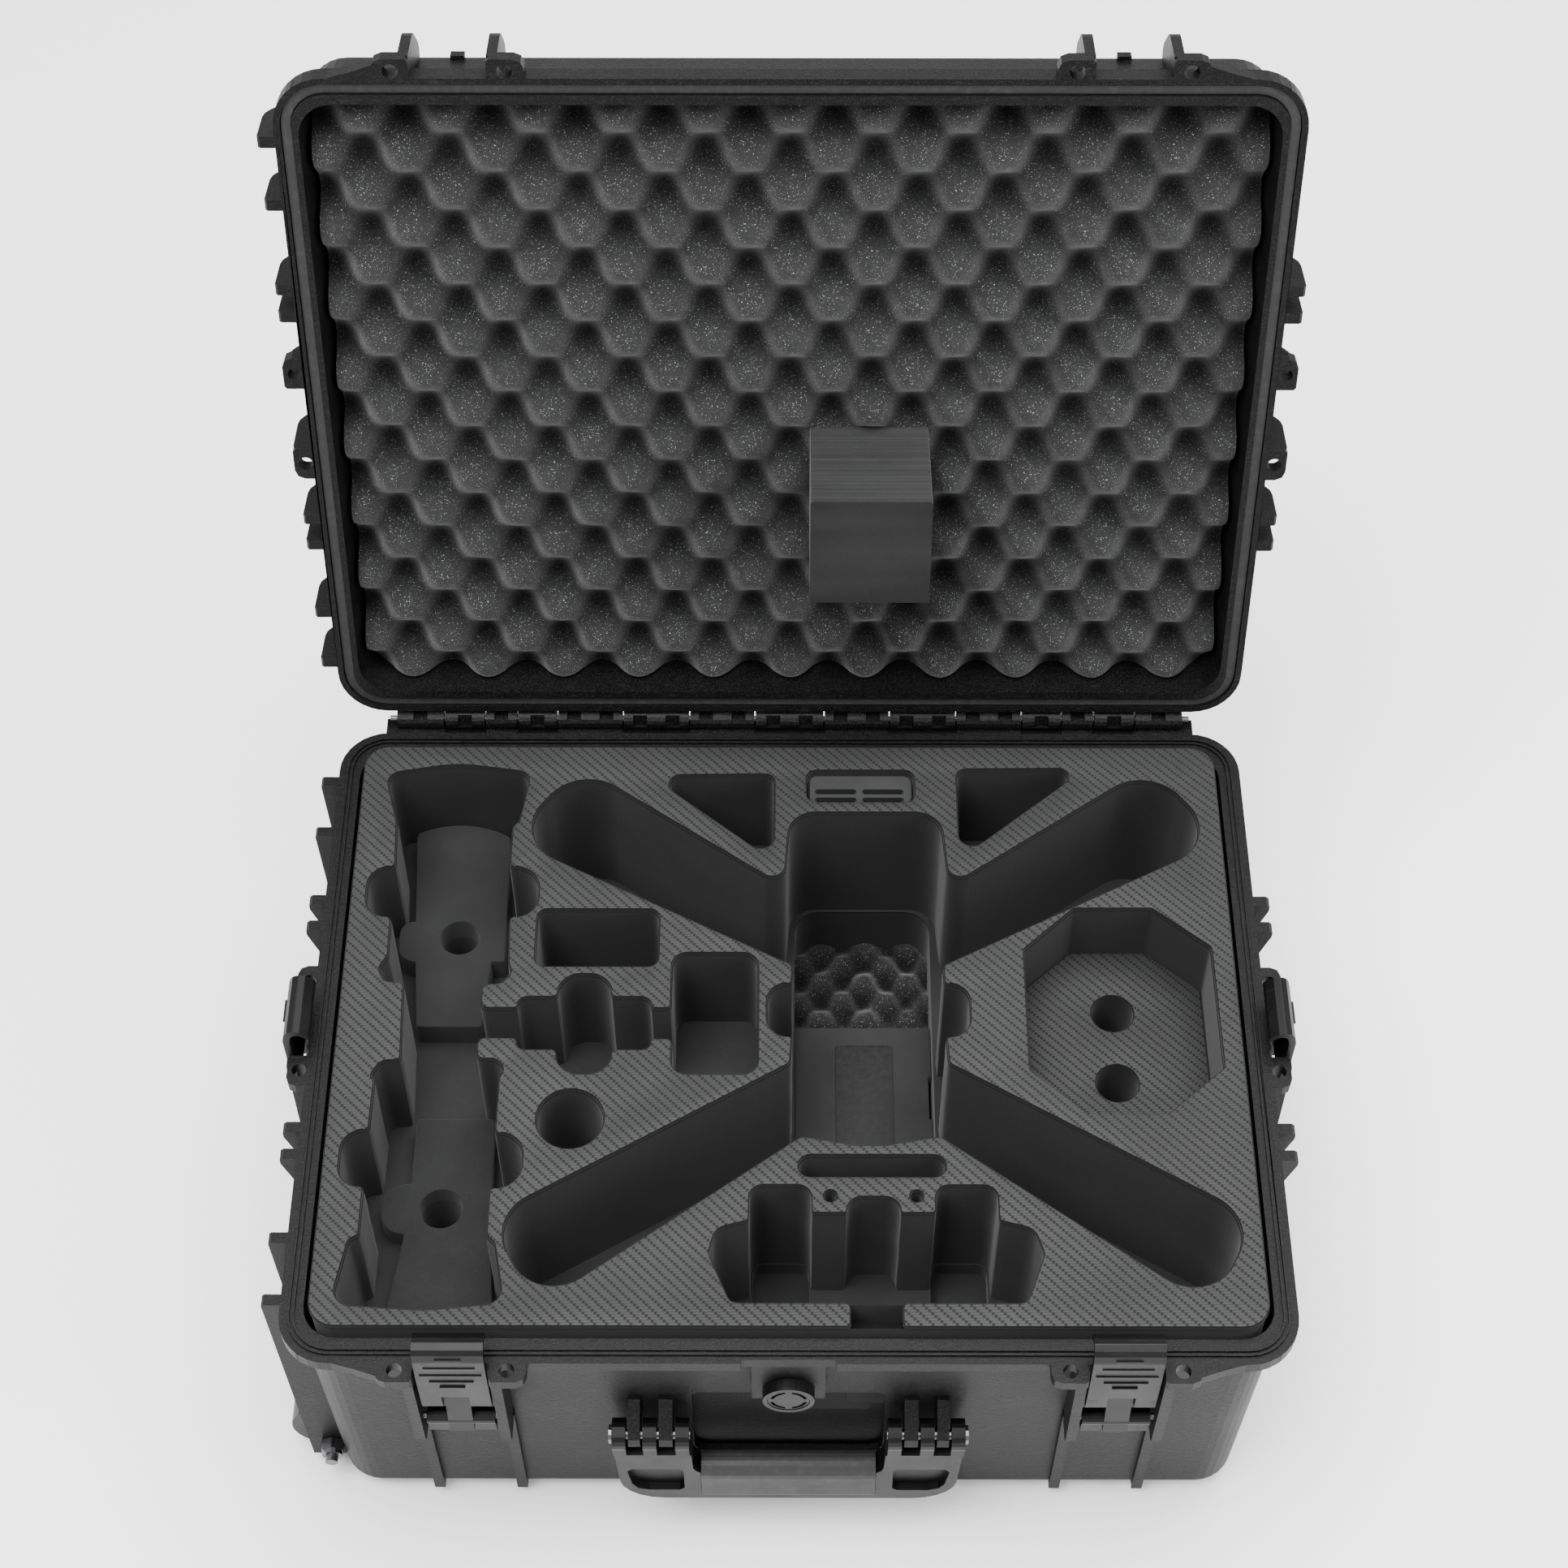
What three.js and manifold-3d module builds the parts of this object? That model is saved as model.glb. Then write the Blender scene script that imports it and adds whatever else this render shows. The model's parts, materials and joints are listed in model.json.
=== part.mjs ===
// A watertight wheeled carrying case for a folding-camera drone, shown with its lid open.
// Millimetres, +Z up, +X to the right of a person facing the latches, +Y towards the hinge.
// The origin is the middle of the flat underside that the case lies on.

import * as THREE from "three";
import { mergeVertices } from "three/addons/utils/BufferGeometryUtils.js";
import Module from "manifold-3d";

const wasm = await Module();
wasm.setup();

// ---------------------------------------------------------------- driving dimensions

const GAP = 0.3; // clearance between touching pieces

// base shell
const BASE_FLOOR = 9; // underside of the moulded bottom, above the ground
const RIM = 214; // parting face of the base
const RIM_X = 289; // half length of the rim flange
const RIM_Y = 222; // half depth of the rim flange
const RIM_R = 30;
const RIM_THICK = 9;
const WALL_X = 280; // half length of the outer wall at the rim
const WALL_Y = 211;
const WALL_R = 24;
const WALL_THICK = 4;
const BASE_DRAFT = 0.0285; // inward lean of the wall, mm per mm of depth
const RIDGES = [284.2, 281.4]; // outer half lengths of the two seal ridges
const RIDGE_WIDTH = 1.3;
const RIDGE_HEIGHT = 1.6;

// lid shell, in its closed place
const LID_RIM = 214.4;
const SKIRT_TOP = 227;
const GROOVE_WIDTH = 6.2; // of the seal's groove in the lid
const LID_TOP = 271;
const LID_DRAFT = 0.09;
const LID_OPEN_DEG = 104;
const LID_PANEL = 3.5;

// hinge
const HINGE_Y = 231;
const HINGE_Z = 218;
const KNUCKLE_R = 6.5;
const HINGE_PIN_R = 2;
const HINGE_STEPS = [22.4, 64.7, 107.7, 150.3, 176, 197, 223.3, 254.5]; // knuckle edges from the middle

// latches
const LATCH_X = 189.5; // middle of each front latch
const LATCH_SIDE_OUT = 7; // side latches stand this much further out
const LATCH_HALF = 20;
const LUG_IN = 21.5;
const LUG_OUT = 42.5;
const LUG_REACH = 11.5;
const LUG_HOLE_U = 31.5;
const LUG_HOLE_W = 4.2;
const LUG_HOLE_R = 4.4;
const ARM_AXIS = [-1, 143.5]; // outward, height
const LEVER_AXIS = [-2.5, 176];
const LATCH_PIN_R = 1.8;
const ARM_FOOT = 128.5; // lower end of the latch arm
const LEVER_LINES = [[197, 14.5], [204, 25], [212, 35], [221, 29], [230, 15]]; // height, length

// wheels
const WHEEL_X = -281;
const WHEEL_Z = 28;
const WHEEL_Y = 163.3;
const WHEEL_R = 26.5;
const WHEEL_WIDTH = 26;
const HUB_R = 17;
const AXLE_R = 4;

// side ribs: heights of the case's long side along y
const GUARD_RIBS = [183, 143.5, -143.5, -183];
const STRUT_RIBS = [91.5, 72.5, -70.5, -88.5];
const RIB_THICK = 7;
const RIB_X = 299;

// carry handle
const HANDLE_AXIS = [-224, 124]; // y, z
const HANDLE_HALF = 103;
const HANDLE_INNER = 56;
const HANDLE_BOTTOM = 50;
const HANDLE_KNUCKLE_R = 9.5;
const HANDLE_KNUCKLES = [[58, 66], [77, 85], [95, 103]];
const HANDLE_LUGS = [[67.5, 75.5], [86.5, 93.5]];
const HANDLE_PIN_R = 3;
const RECESS_BACK = 202.5; // back face of the hand recess, forward of the middle

// pressure valve
const VALVE_Z = 170;
const VALVE_R = 15;
const BOSS_Y = 217;

// pull handle under the base
const CHANNEL_Y = 95;
const CHANNEL_TOP = 21;
const CHANNEL_END = -150;
const TUBE_Y = 75;
const TUBE_Z = 12;
const TUBE_R = 6;
const TUBE_START = -140;
const GRIP_BACK = 258;
const GRIP_FRONT = 282;
const GUIDE_X = [206, 226];

// foam
const FOAM_TOP = 222;
const EGG_FACE = 228; // mean face of the egg-crate foam with the lid closed
const SHEET_BOTTOM = 219;
const POCKET_FLOOR = 143; // bottom of the upper layer, and the floor of every pocket that only it is cut for
const SEAM = 112; // top of the lower block, and the floor of the drone's arm slots
const FOAM_BOTTOM = 13.5;
const CROSS_X = 48; // middle of the drone's X-shaped bed
const BODY_FLOOR = 50;
const CAMERA_FLOOR = 124;
const CARD_FLOOR = 204;

// ---------------------------------------------------------------- outlines: [x, y, corner radius]

const FOAM_OUTLINE = [[-272, 205, 16], [-272, -203, 16], [272, -203, 16], [272, 205, 16]];

const REMOTE_BAY = [
  [-257, 183, 8], [-247.5, 146, 5], [-245.5, 111, 3], [-262, 111, 17], [-262, 74, 17], [-245.5, 74, 3],
  [-245, 45, 4], [-250, 36, 5], [-246, 27, 5], [-234, 26, 3], [-231.5, -29.5, 3], [-243, -30, 6],
  [-249, -40, 4], [-246, -43, 3], [-246.5, -77, 3], [-262, -77, 18], [-262, -114, 18], [-246.5, -114, 3],
  [-246.5, -146, 3], [-252, -149, 4], [-259, -189, 10], [-206, -192.5, 80], [-162, -188, 9],
  [-169, -151, 4], [-174, -146, 3], [-174, -115, 3], [-156, -115, 18], [-156, -79, 18], [-173, -79, 3],
  [-173, -42, 3], [-170, -34, 5], [-176, -28.5, 5], [-187, -29, 5], [-187.5, -13, 5], [-163, -13, 3],
  [-163.5, -21, 6], [-139, -21, 3], [-139, -38, 14], [-106.5, -38, 14], [-106.5, -21, 3], [-83, -21, 6],
  [-83, -13.5, 2], [-70, -13.5, 3], [-70, -38, 9], [-19, -38, 9], [-19.5, 47, 9], [-71, 47, 9],
  [-71, 7, 3], [-83.5, 7, 2], [-84, 15, 6], [-108, 15, 3], [-108, 31.5, 14], [-140, 31.5, 14],
  [-140, 15, 3], [-164, 15, 6], [-164, 7, 2], [-187, 7, 5], [-187, 25, 5], [-175, 25.5, 5],
  [-169.5, 33, 5], [-172, 41, 4], [-173, 74, 3], [-156, 74, 18], [-156, 111, 18], [-175, 111, 3],
  [-175, 142, 4], [-171, 147, 3], [-165.5, 184, 8], [-212, 191, 80],
];
const DRONE_HALF = [ // right half of the X-shaped bed, from its front to its back
  [8, -86, 30], [41, -80, 8], [191, -190, 26], [220, -134, 26], [47, -31, 5], [46, -12, 2],
  [61, -12, 15], [61, 26, 15], [46, 25, 2], [45.5, 39, 5], [224, 133, 29], [182, 189, 29], [51, 96, 9],
  [47, 153, 17],
];
const DRONE_BED = [
  ...DRONE_HALF.map(([x, y, r]) => [CROSS_X + x, y, r]),
  ...DRONE_HALF.map(([x, y, r]) => [CROSS_X - x, y, r]).reverse(),
];
const BODY_WELL = [[1.5, -79, 8], [94.5, -79, 8], [94.5, 153, 17], [1.5, 153, 17]];
const TRIANGLES = [
  [[-88, 182, 7], [-10, 183, 6], [-10, 117, 8]],
  [[107, 187, 6], [188, 188, 6], [107, 119, 8]],
];
const CARD_RECESS = [[11.5, 162, 6], [79, 162, 6], [79, 186, 6], [11.5, 186, 6]];
const SMALL_POCKET = [[-155, 38, 6], [-80.5, 38, 6], [-80.5, 79, 6], [-155, 79, 6]];
const CHARGER_POCKET = [
  [144, 50, 3], [144, -35, 3], [177, -64, 3], [224, -64, 3], [259, -33, 3], [258, 52, 3], [224, 80, 3],
  [176, 80, 3],
];
const CABLE_SLOT = [[6, -107, 6.6], [91, -107, 6.6], [91, -93.5, 6.6], [6, -93.5, 6.6]];
const CAMERA_POCKET = [
  [-23, -113, 8], [-23, -136, 3], [-42, -141, 10], [-46, -157, 9], [-33, -188, 6], [135, -188, 6],
  [146, -157, 9], [141, -141, 10], [121, -136, 3], [121, -113, 8], [85, -113, 8], [85, -131, 2],
  [64.5, -131, 2], [64.5, -120.5, 15], [33.5, -120.5, 15], [33.5, -131, 2], [13, -131, 2], [13, -113, 8],
];
const CAMERA_SLOTS = [
  [[-22, -187, 4], [12.5, -187, 4], [12.5, -114, 7], [-22, -114, 7]],
  [[85.5, -187, 4], [120, -187, 4], [120, -114, 7], [85.5, -114, 7]],
];
const REMOTE_FINGERS = [{ x: -210, y: 97.5, r: 12.5 }, { x: -209, y: -94, r: 13 }];
const CHARGER_FINGERS = [{ x: 201, y: 34, r: 13 }, { x: 201, y: -16, r: 13 }];
const FRONT_NOTCH = [[35, -210, 1], [64, -210, 1], [64, -186, 1], [35, -186, 1]];

// Every pocket in the foam with the height of its floor.
const POCKETS = [
  [REMOTE_BAY, POCKET_FLOOR], [DRONE_BED, SEAM], [BODY_WELL, BODY_FLOOR], [TRIANGLES[0], POCKET_FLOOR],
  [TRIANGLES[1], POCKET_FLOOR], [CARD_RECESS, CARD_FLOOR], [SMALL_POCKET, POCKET_FLOOR],
  [CHARGER_POCKET, POCKET_FLOOR], [CABLE_SLOT, POCKET_FLOOR], [CAMERA_POCKET, CAMERA_FLOOR],
  [CAMERA_SLOTS[0], SEAM], [CAMERA_SLOTS[1], SEAM], [FRONT_NOTCH, 200],
];
const WELLS = [
  { x: -129, y: -69, r: 19.5, floor: SEAM }, { x: 24, y: -120, r: 3.3, floor: 185 },
  { x: 74, y: -120, r: 3.3, floor: 185 },
  ...[...REMOTE_FINGERS, ...CHARGER_FINGERS].map((hole) => ({ ...hole, floor: SEAM })),
];

// ---------------------------------------------------------------- materials

const plastic = () => new THREE.MeshStandardMaterial({ color: "#3b3c3d", roughness: 0.62, metalness: 0 });
const smoothPlastic = () => new THREE.MeshStandardMaterial({ color: "#2c2d2e", roughness: 0.42, metalness: 0 });
const rubber = () => new THREE.MeshStandardMaterial({ color: "#1d1d1e", roughness: 0.8, metalness: 0 });
const steel = () => new THREE.MeshStandardMaterial({ color: "#9a9c9e", roughness: 0.35, metalness: 1 });
const aluminium = () => new THREE.MeshStandardMaterial({ color: "#a9abad", roughness: 0.4, metalness: 1 });
const foam = () => new THREE.MeshStandardMaterial({ color: "#2a2a2a", roughness: 0.95, metalness: 0 });
const twillFoam = () => new THREE.MeshStandardMaterial({ color: "#5a5a5a", roughness: 0.85, metalness: 0 });
const eggFoam = () => new THREE.MeshStandardMaterial({ color: "#474747", roughness: 1, metalness: 0 });

// ---------------------------------------------------------------- shape helpers

// For each corner: itself, the unit vectors along its two edges, their half angle and its arc's reach.
function cornersWithReach(corners) {
  const count = corners.length;
  const list = corners.map(([x, y, radius], i) => {
    const corner = new THREE.Vector2(x, y);
    const [px, py] = corners[(i + count - 1) % count];
    const [nx, ny] = corners[(i + 1) % count];
    const before = new THREE.Vector2(px, py).sub(corner);
    const after = new THREE.Vector2(nx, ny).sub(corner);
    const edge = after.length();
    before.normalize();
    after.normalize();
    const half = Math.acos(THREE.MathUtils.clamp(before.dot(after), -1, 1)) / 2;
    return { corner, before, after, edge, half, wanted: Math.max(radius / Math.tan(half), 1e-6) };
  });
  const share = (i) => Math.min(1, (list[i].edge * 0.998) / (list[i].wanted + list[(i + 1) % count].wanted));
  list.forEach((item, i) => {
    item.reach = item.wanted * Math.min(share(i), share((i + count - 1) % count));
  });
  return list;
}

// Points of a polygon whose corners are rounded to their own radii, anticlockwise or clockwise as given.
function roundedPoints(corners, smooth = 1) {
  const points = [];
  cornersWithReach(corners).forEach(({ corner, before, after, half, reach }) => {
    const r = reach * Math.tan(half);
    if (r < 0.5) {
      points.push(corner);
      return;
    }
    const turn = Math.PI - 2 * half;
    const steps = Math.max(1, Math.round((turn * Math.sqrt(r) * smooth) / 2.2));
    const centre = before.clone().add(after).normalize().multiplyScalar(r / Math.sin(half)).add(corner);
    const start = corner.clone().addScaledVector(before, reach).sub(centre);
    const sign = Math.sign(before.cross(after)) * -1;
    for (let k = 0; k <= steps; k += 1) {
      points.push(start.clone().rotateAround(new THREE.Vector2(), (sign * turn * k) / steps).add(centre));
    }
  });
  return points;
}

const roundedShape = (corners, smooth) => new THREE.Shape(roundedPoints(corners, smooth));

const rectangle = (x, y, r) => [[-x, -y, r], [x, -y, r], [x, y, r], [-x, y, r]];

// An upright plate of the shape from height z0 to z1.
function plate(shape, z0, z1) {
  const geometry = new THREE.ExtrudeGeometry(shape, { depth: z1 - z0, bevelEnabled: false, curveSegments: 6 });
  return solid(geometry.translate(0, 0, z0));
}

// A plate standing across x: its shape is drawn in (y, z) and it runs from x0 to x1.
function crossPlate(shape, x0, x1) {
  const geometry = new THREE.ExtrudeGeometry(shape, { depth: x1 - x0, bevelEnabled: false, curveSegments: 6 });
  geometry.rotateX(Math.PI / 2).rotateZ(Math.PI / 2);
  return solid(geometry.translate(x0, 0, 0));
}

function box(x0, x1, y0, y1, z0, z1) {
  const geometry = new THREE.BoxGeometry(x1 - x0, y1 - y0, z1 - z0);
  return solid(geometry.translate((x0 + x1) / 2, (y0 + y1) / 2, (z0 + z1) / 2));
}

// A round bar along x, y or z between two coordinates on that axis.
function bar(axis, from, to, centre, radius, sides = 12) {
  const geometry = new THREE.CylinderGeometry(radius, radius, to - from, sides);
  if (axis === "x") geometry.rotateZ(-Math.PI / 2).translate((from + to) / 2, centre[0], centre[1]);
  if (axis === "y") geometry.translate(centre[0], (from + to) / 2, centre[1]);
  if (axis === "z") geometry.rotateX(Math.PI / 2).translate(centre[0], centre[1], (from + to) / 2);
  return solid(geometry);
}

function solid(geometry) {
  const plain = geometry.clone();
  plain.deleteAttribute("normal");
  plain.deleteAttribute("uv");
  const merged = mergeVertices(plain, 1e-4);
  return new wasm.Manifold(new wasm.Mesh({
    numProp: 3,
    vertProperties: new Float32Array(merged.attributes.position.array),
    triVerts: new Uint32Array(merged.index.array),
  }));
}

const join = (first, ...rest) => rest.reduce((whole, piece) => whole.add(piece), first);
const cut = (first, ...rest) => rest.reduce((whole, piece) => whole.subtract(piece), first);

function geometryOf(manifold) {
  const mesh = manifold.getMesh();
  const geometry = new THREE.BufferGeometry();
  geometry.setAttribute("position", new THREE.BufferAttribute(new Float32Array(mesh.vertProperties), 3));
  geometry.setIndex(new THREE.BufferAttribute(new Uint32Array(mesh.triVerts), 1));
  return geometry;
}

// Leans the walls of an upright solid inward below (or above) a reference height.
function drafted(manifold, reference, slope, halfX, halfY) {
  const geometry = geometryOf(manifold);
  const position = geometry.attributes.position;
  for (let i = 0; i < position.count; i += 1) {
    const inset = Math.abs(position.getZ(i) - reference) * slope;
    position.setX(i, position.getX(i) * (1 - inset / halfX));
    position.setY(i, position.getY(i) * (1 - inset / halfY));
  }
  return solid(geometry);
}

const part = new THREE.Group();

function node(name, manifold, material, parent = part) {
  const mesh = new THREE.Mesh(geometryOf(manifold), material);
  mesh.name = name;
  parent.add(mesh);
  return mesh;
}

// The same manifold turned to face a latch station and moved there.
function placed(manifold, station) {
  const geometry = geometryOf(manifold);
  geometry.rotateZ(station.turn).translate(station.x, station.y, 0);
  return solid(geometry);
}

// ---------------------------------------------------------------- latch stations
// In a station's own frame the latch is drawn across x, facing -Y, with y = 0 on the rim flange's edge.

const STATIONS = [
  { name: "front_left", x: -LATCH_X, y: -RIM_Y, turn: 0, out: 0 },
  { name: "front_right", x: LATCH_X, y: -RIM_Y, turn: 0, out: 0 },
  { name: "side_left", x: -RIM_X, y: 0, turn: -Math.PI / 2, out: LATCH_SIDE_OUT },
  { name: "side_right", x: RIM_X, y: 0, turn: Math.PI / 2, out: LATCH_SIDE_OUT },
];

const lugShape = (side) => roundedShape([
  [side * LUG_IN, 8, 0], [side * LUG_IN, -LUG_REACH, 1.5], [side * LUG_OUT, -LUG_REACH, 6],
  [side * LUG_OUT, 8, 0],
], 1.3);

// Padlock lugs beside a latch, from height z0 to z1.
function latchLugs(z0, z1) {
  const lug = (side) => plate(side > 0 ? lugShape(1) : mirrored(lugShape(1)), z0, z1);
  return join(lug(-1), lug(1));
}

// The same shape on the other side of the upright axis.
function mirrored(shape) {
  const points = shape.getPoints(6).map((p) => new THREE.Vector2(-p.x, p.y));
  return new THREE.Shape(points.reverse());
}

function lugHoles(z0, z1) {
  const hole = (side) => bar("z", z0, z1, [side * LUG_HOLE_U, -LUG_HOLE_W], LUG_HOLE_R, 20);
  return join(hole(-1), hole(1));
}

// Ribs that carry the latch's lower pin.
function latchRibs(station) {
  const bottom = 121;
  const shape = roundedShape([
    [14, RIM - 2, 0], [-9 - station.out * 0.5, RIM - 2, 0], [-6 - station.out, bottom, 4], [16, bottom - 4, 0],
  ]);
  const [w, z] = ARM_AXIS;
  const ribs = join(
    crossPlate(shape, LUG_IN + 0.5, LUG_IN + 6.5), crossPlate(shape, -LUG_IN - 6.5, -LUG_IN - 0.5));
  return cut(ribs, bar("x", -40, 40, [-w - station.out, z], LATCH_PIN_R + GAP, 10));
}

// ---------------------------------------------------------------- base shell

function rimOutline() {
  return roundedShape(rectangle(RIM_X, RIM_Y, RIM_R), 2);
}

// Flange in front of the corner, which widens in a straight line to the padlock lug.
function cornerWedge(side, z0, z1) {
  const edge = LATCH_X + LUG_OUT;
  const corners = [
    [-275, -210], [-277, -216.5], [-edge - 12, -225.5], [-edge + 12, -233.5], [-edge + 20, -212],
  ];
  const points = corners.map(([x, y]) => new THREE.Vector2(side * -x, y));
  return plate(new THREE.Shape(side > 0 ? points.reverse() : points), z0, z1);
}

function sealRing(height0, height1, outer, width) {
  const inset = RIM_X - outer;
  const ring = (by) => roundedShape(rectangle(RIM_X - by, RIM_Y - by, RIM_R - by), 2);
  return cut(
    plate(ring(inset), height0, height1), plate(ring(inset + width), height0 - 1, height1 + 1));
}

// A rib whose shape is drawn in (x, z) for the left side, at depth y; side 1 turns it to the right side.
function sideRib(shape, y, side) {
  const geometry = new THREE.ExtrudeGeometry(shape, { depth: RIB_THICK, bevelEnabled: false });
  geometry.rotateX(Math.PI / 2).translate(0, y + RIB_THICK / 2, 0);
  if (side > 0) geometry.rotateZ(Math.PI).translate(0, 2 * y, 0);
  return solid(geometry);
}

function baseSideRibs() {
  const guard = roundedShape([[-262, RIM], [-RIB_X - 1, RIM], [-295, BASE_FLOOR + 2], [-262, BASE_FLOOR + 2]]
    .map(([x, z], i) => [x, z, i === 1 ? 1.5 : 0]));
  const strut = roundedShape([
    [-270, RIM, 0], [-RIB_X, RIM, 2], [-RIB_X, RIM - 6, 2], [-278, RIM - 78, 2], [-270, RIM - 78, 0],
  ]);
  const ribs = GUARD_RIBS.map((y) => sideRib(guard, y, -1));
  STRUT_RIBS.forEach((y) => ribs.push(sideRib(strut, y, -1), sideRib(strut, y, 1)));
  return join(...ribs);
}

// Long shallow ribs down the front, in line with the latch ribs.
function baseFrontRibs() {
  const ribs = [];
  const shape = roundedShape([[-196, 10, 0], [-196, 125, 0], [-213, 125, 0], [-208.5, 10, 0]]);
  [-1, 1].forEach((side) => [-LUG_IN - 4, LUG_IN + 4].forEach((offset) => {
    const x = side * LATCH_X + offset;
    ribs.push(crossPlate(shape, x - 3.2, x + 3.2));
  }));
  return join(...ribs);
}

// Lugs that carry the carry handle, on both sides of the recess behind it.
function handleLugs() {
  const [y, z] = HANDLE_AXIS;
  const shape = roundedShape([
    [-206, z + 20, 0], [-212, z + 20, 2], [y - 6, z + 8, 6], [y - 8, z - 7, 7], [y + 4, z - 9, 3],
    [-206, z - 16, 0],
  ]);
  return join(...HANDLE_LUGS.flatMap(([from, to]) => [
    crossPlate(shape, from, to), crossPlate(shape, -to, -from),
  ]));
}

// Knuckles of one hinge leaf between x = a and x = b, with a web that runs to the flange.
function knuckle(a, b, webShape) {
  const barrel = bar("x", a + 0.5, b - 0.5, [HINGE_Y, HINGE_Z], KNUCKLE_R, 16);
  return join(barrel, crossPlate(webShape, a + 0.5, b - 0.5));
}

// Small square moulding windows in a knuckle: below the pin on the lid, above it on the base.
function windows([a, b], forLid) {
  const middle = (a + b) / 2;
  const places = b - a > 40 ? [middle - 10.5, middle + 10.5] : [middle];
  const [low, high] = forLid ? [HINGE_Z - 8, HINGE_Z - 3.4] : [HINGE_Z + 3.4, HINGE_Z + 8];
  return places.map((x) => box(x - 4.5, x + 4.5, HINGE_Y - 5.5, HINGE_Y + 2.5, low, high));
}

// Every other knuckle belongs to the same leaf; the middle one belongs to the lid.
function hingeLeaf(forLid, webShape) {
  const spans = [[-HINGE_STEPS[0], HINGE_STEPS[0]]];
  for (let i = 1; i < HINGE_STEPS.length; i += 1) {
    spans.push([HINGE_STEPS[i - 1], HINGE_STEPS[i]], [-HINGE_STEPS[i], -HINGE_STEPS[i - 1]]);
  }
  const own = spans.filter((span, i) => (Math.ceil(i / 2) % 2 === 0) === forLid);
  const bore = bar("x", -270, 270, [HINGE_Y, HINGE_Z], HINGE_PIN_R + GAP, 10);
  const knuckles = own.map(([a, b]) => knuckle(a, b, webShape));
  return cut(join(...knuckles), bore, ...own.flatMap((span) => windows(span, forLid)));
}

// The space around a wheel, larger than it by the margin.
function wheelBay(y, margin) {
  const half = WHEEL_WIDTH / 2 + margin;
  return bar("y", y - half, y + half, [WHEEL_X, WHEEL_Z], WHEEL_R + margin, 24);
}

// The outside of the base, with its bottom edge rounded over.
function baseBody() {
  const slice = (inset, z0, z1) => plate(
    roundedShape(rectangle(WALL_X - inset, WALL_Y - inset, WALL_R - inset), 2), z0, z1);
  const rounded = wasm.Manifold.hull([
    slice(0, BASE_FLOOR + 8, BASE_FLOOR + 9), slice(1.1, BASE_FLOOR + 4, BASE_FLOOR + 4.1),
    slice(4, BASE_FLOOR + 1.1, BASE_FLOOR + 1.2), slice(8, BASE_FLOOR, BASE_FLOOR + 0.1),
  ]);
  return drafted(join(slice(0, BASE_FLOOR + 8.5, RIM - 1), rounded), RIM, BASE_DRAFT, WALL_X, WALL_Y);
}

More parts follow.
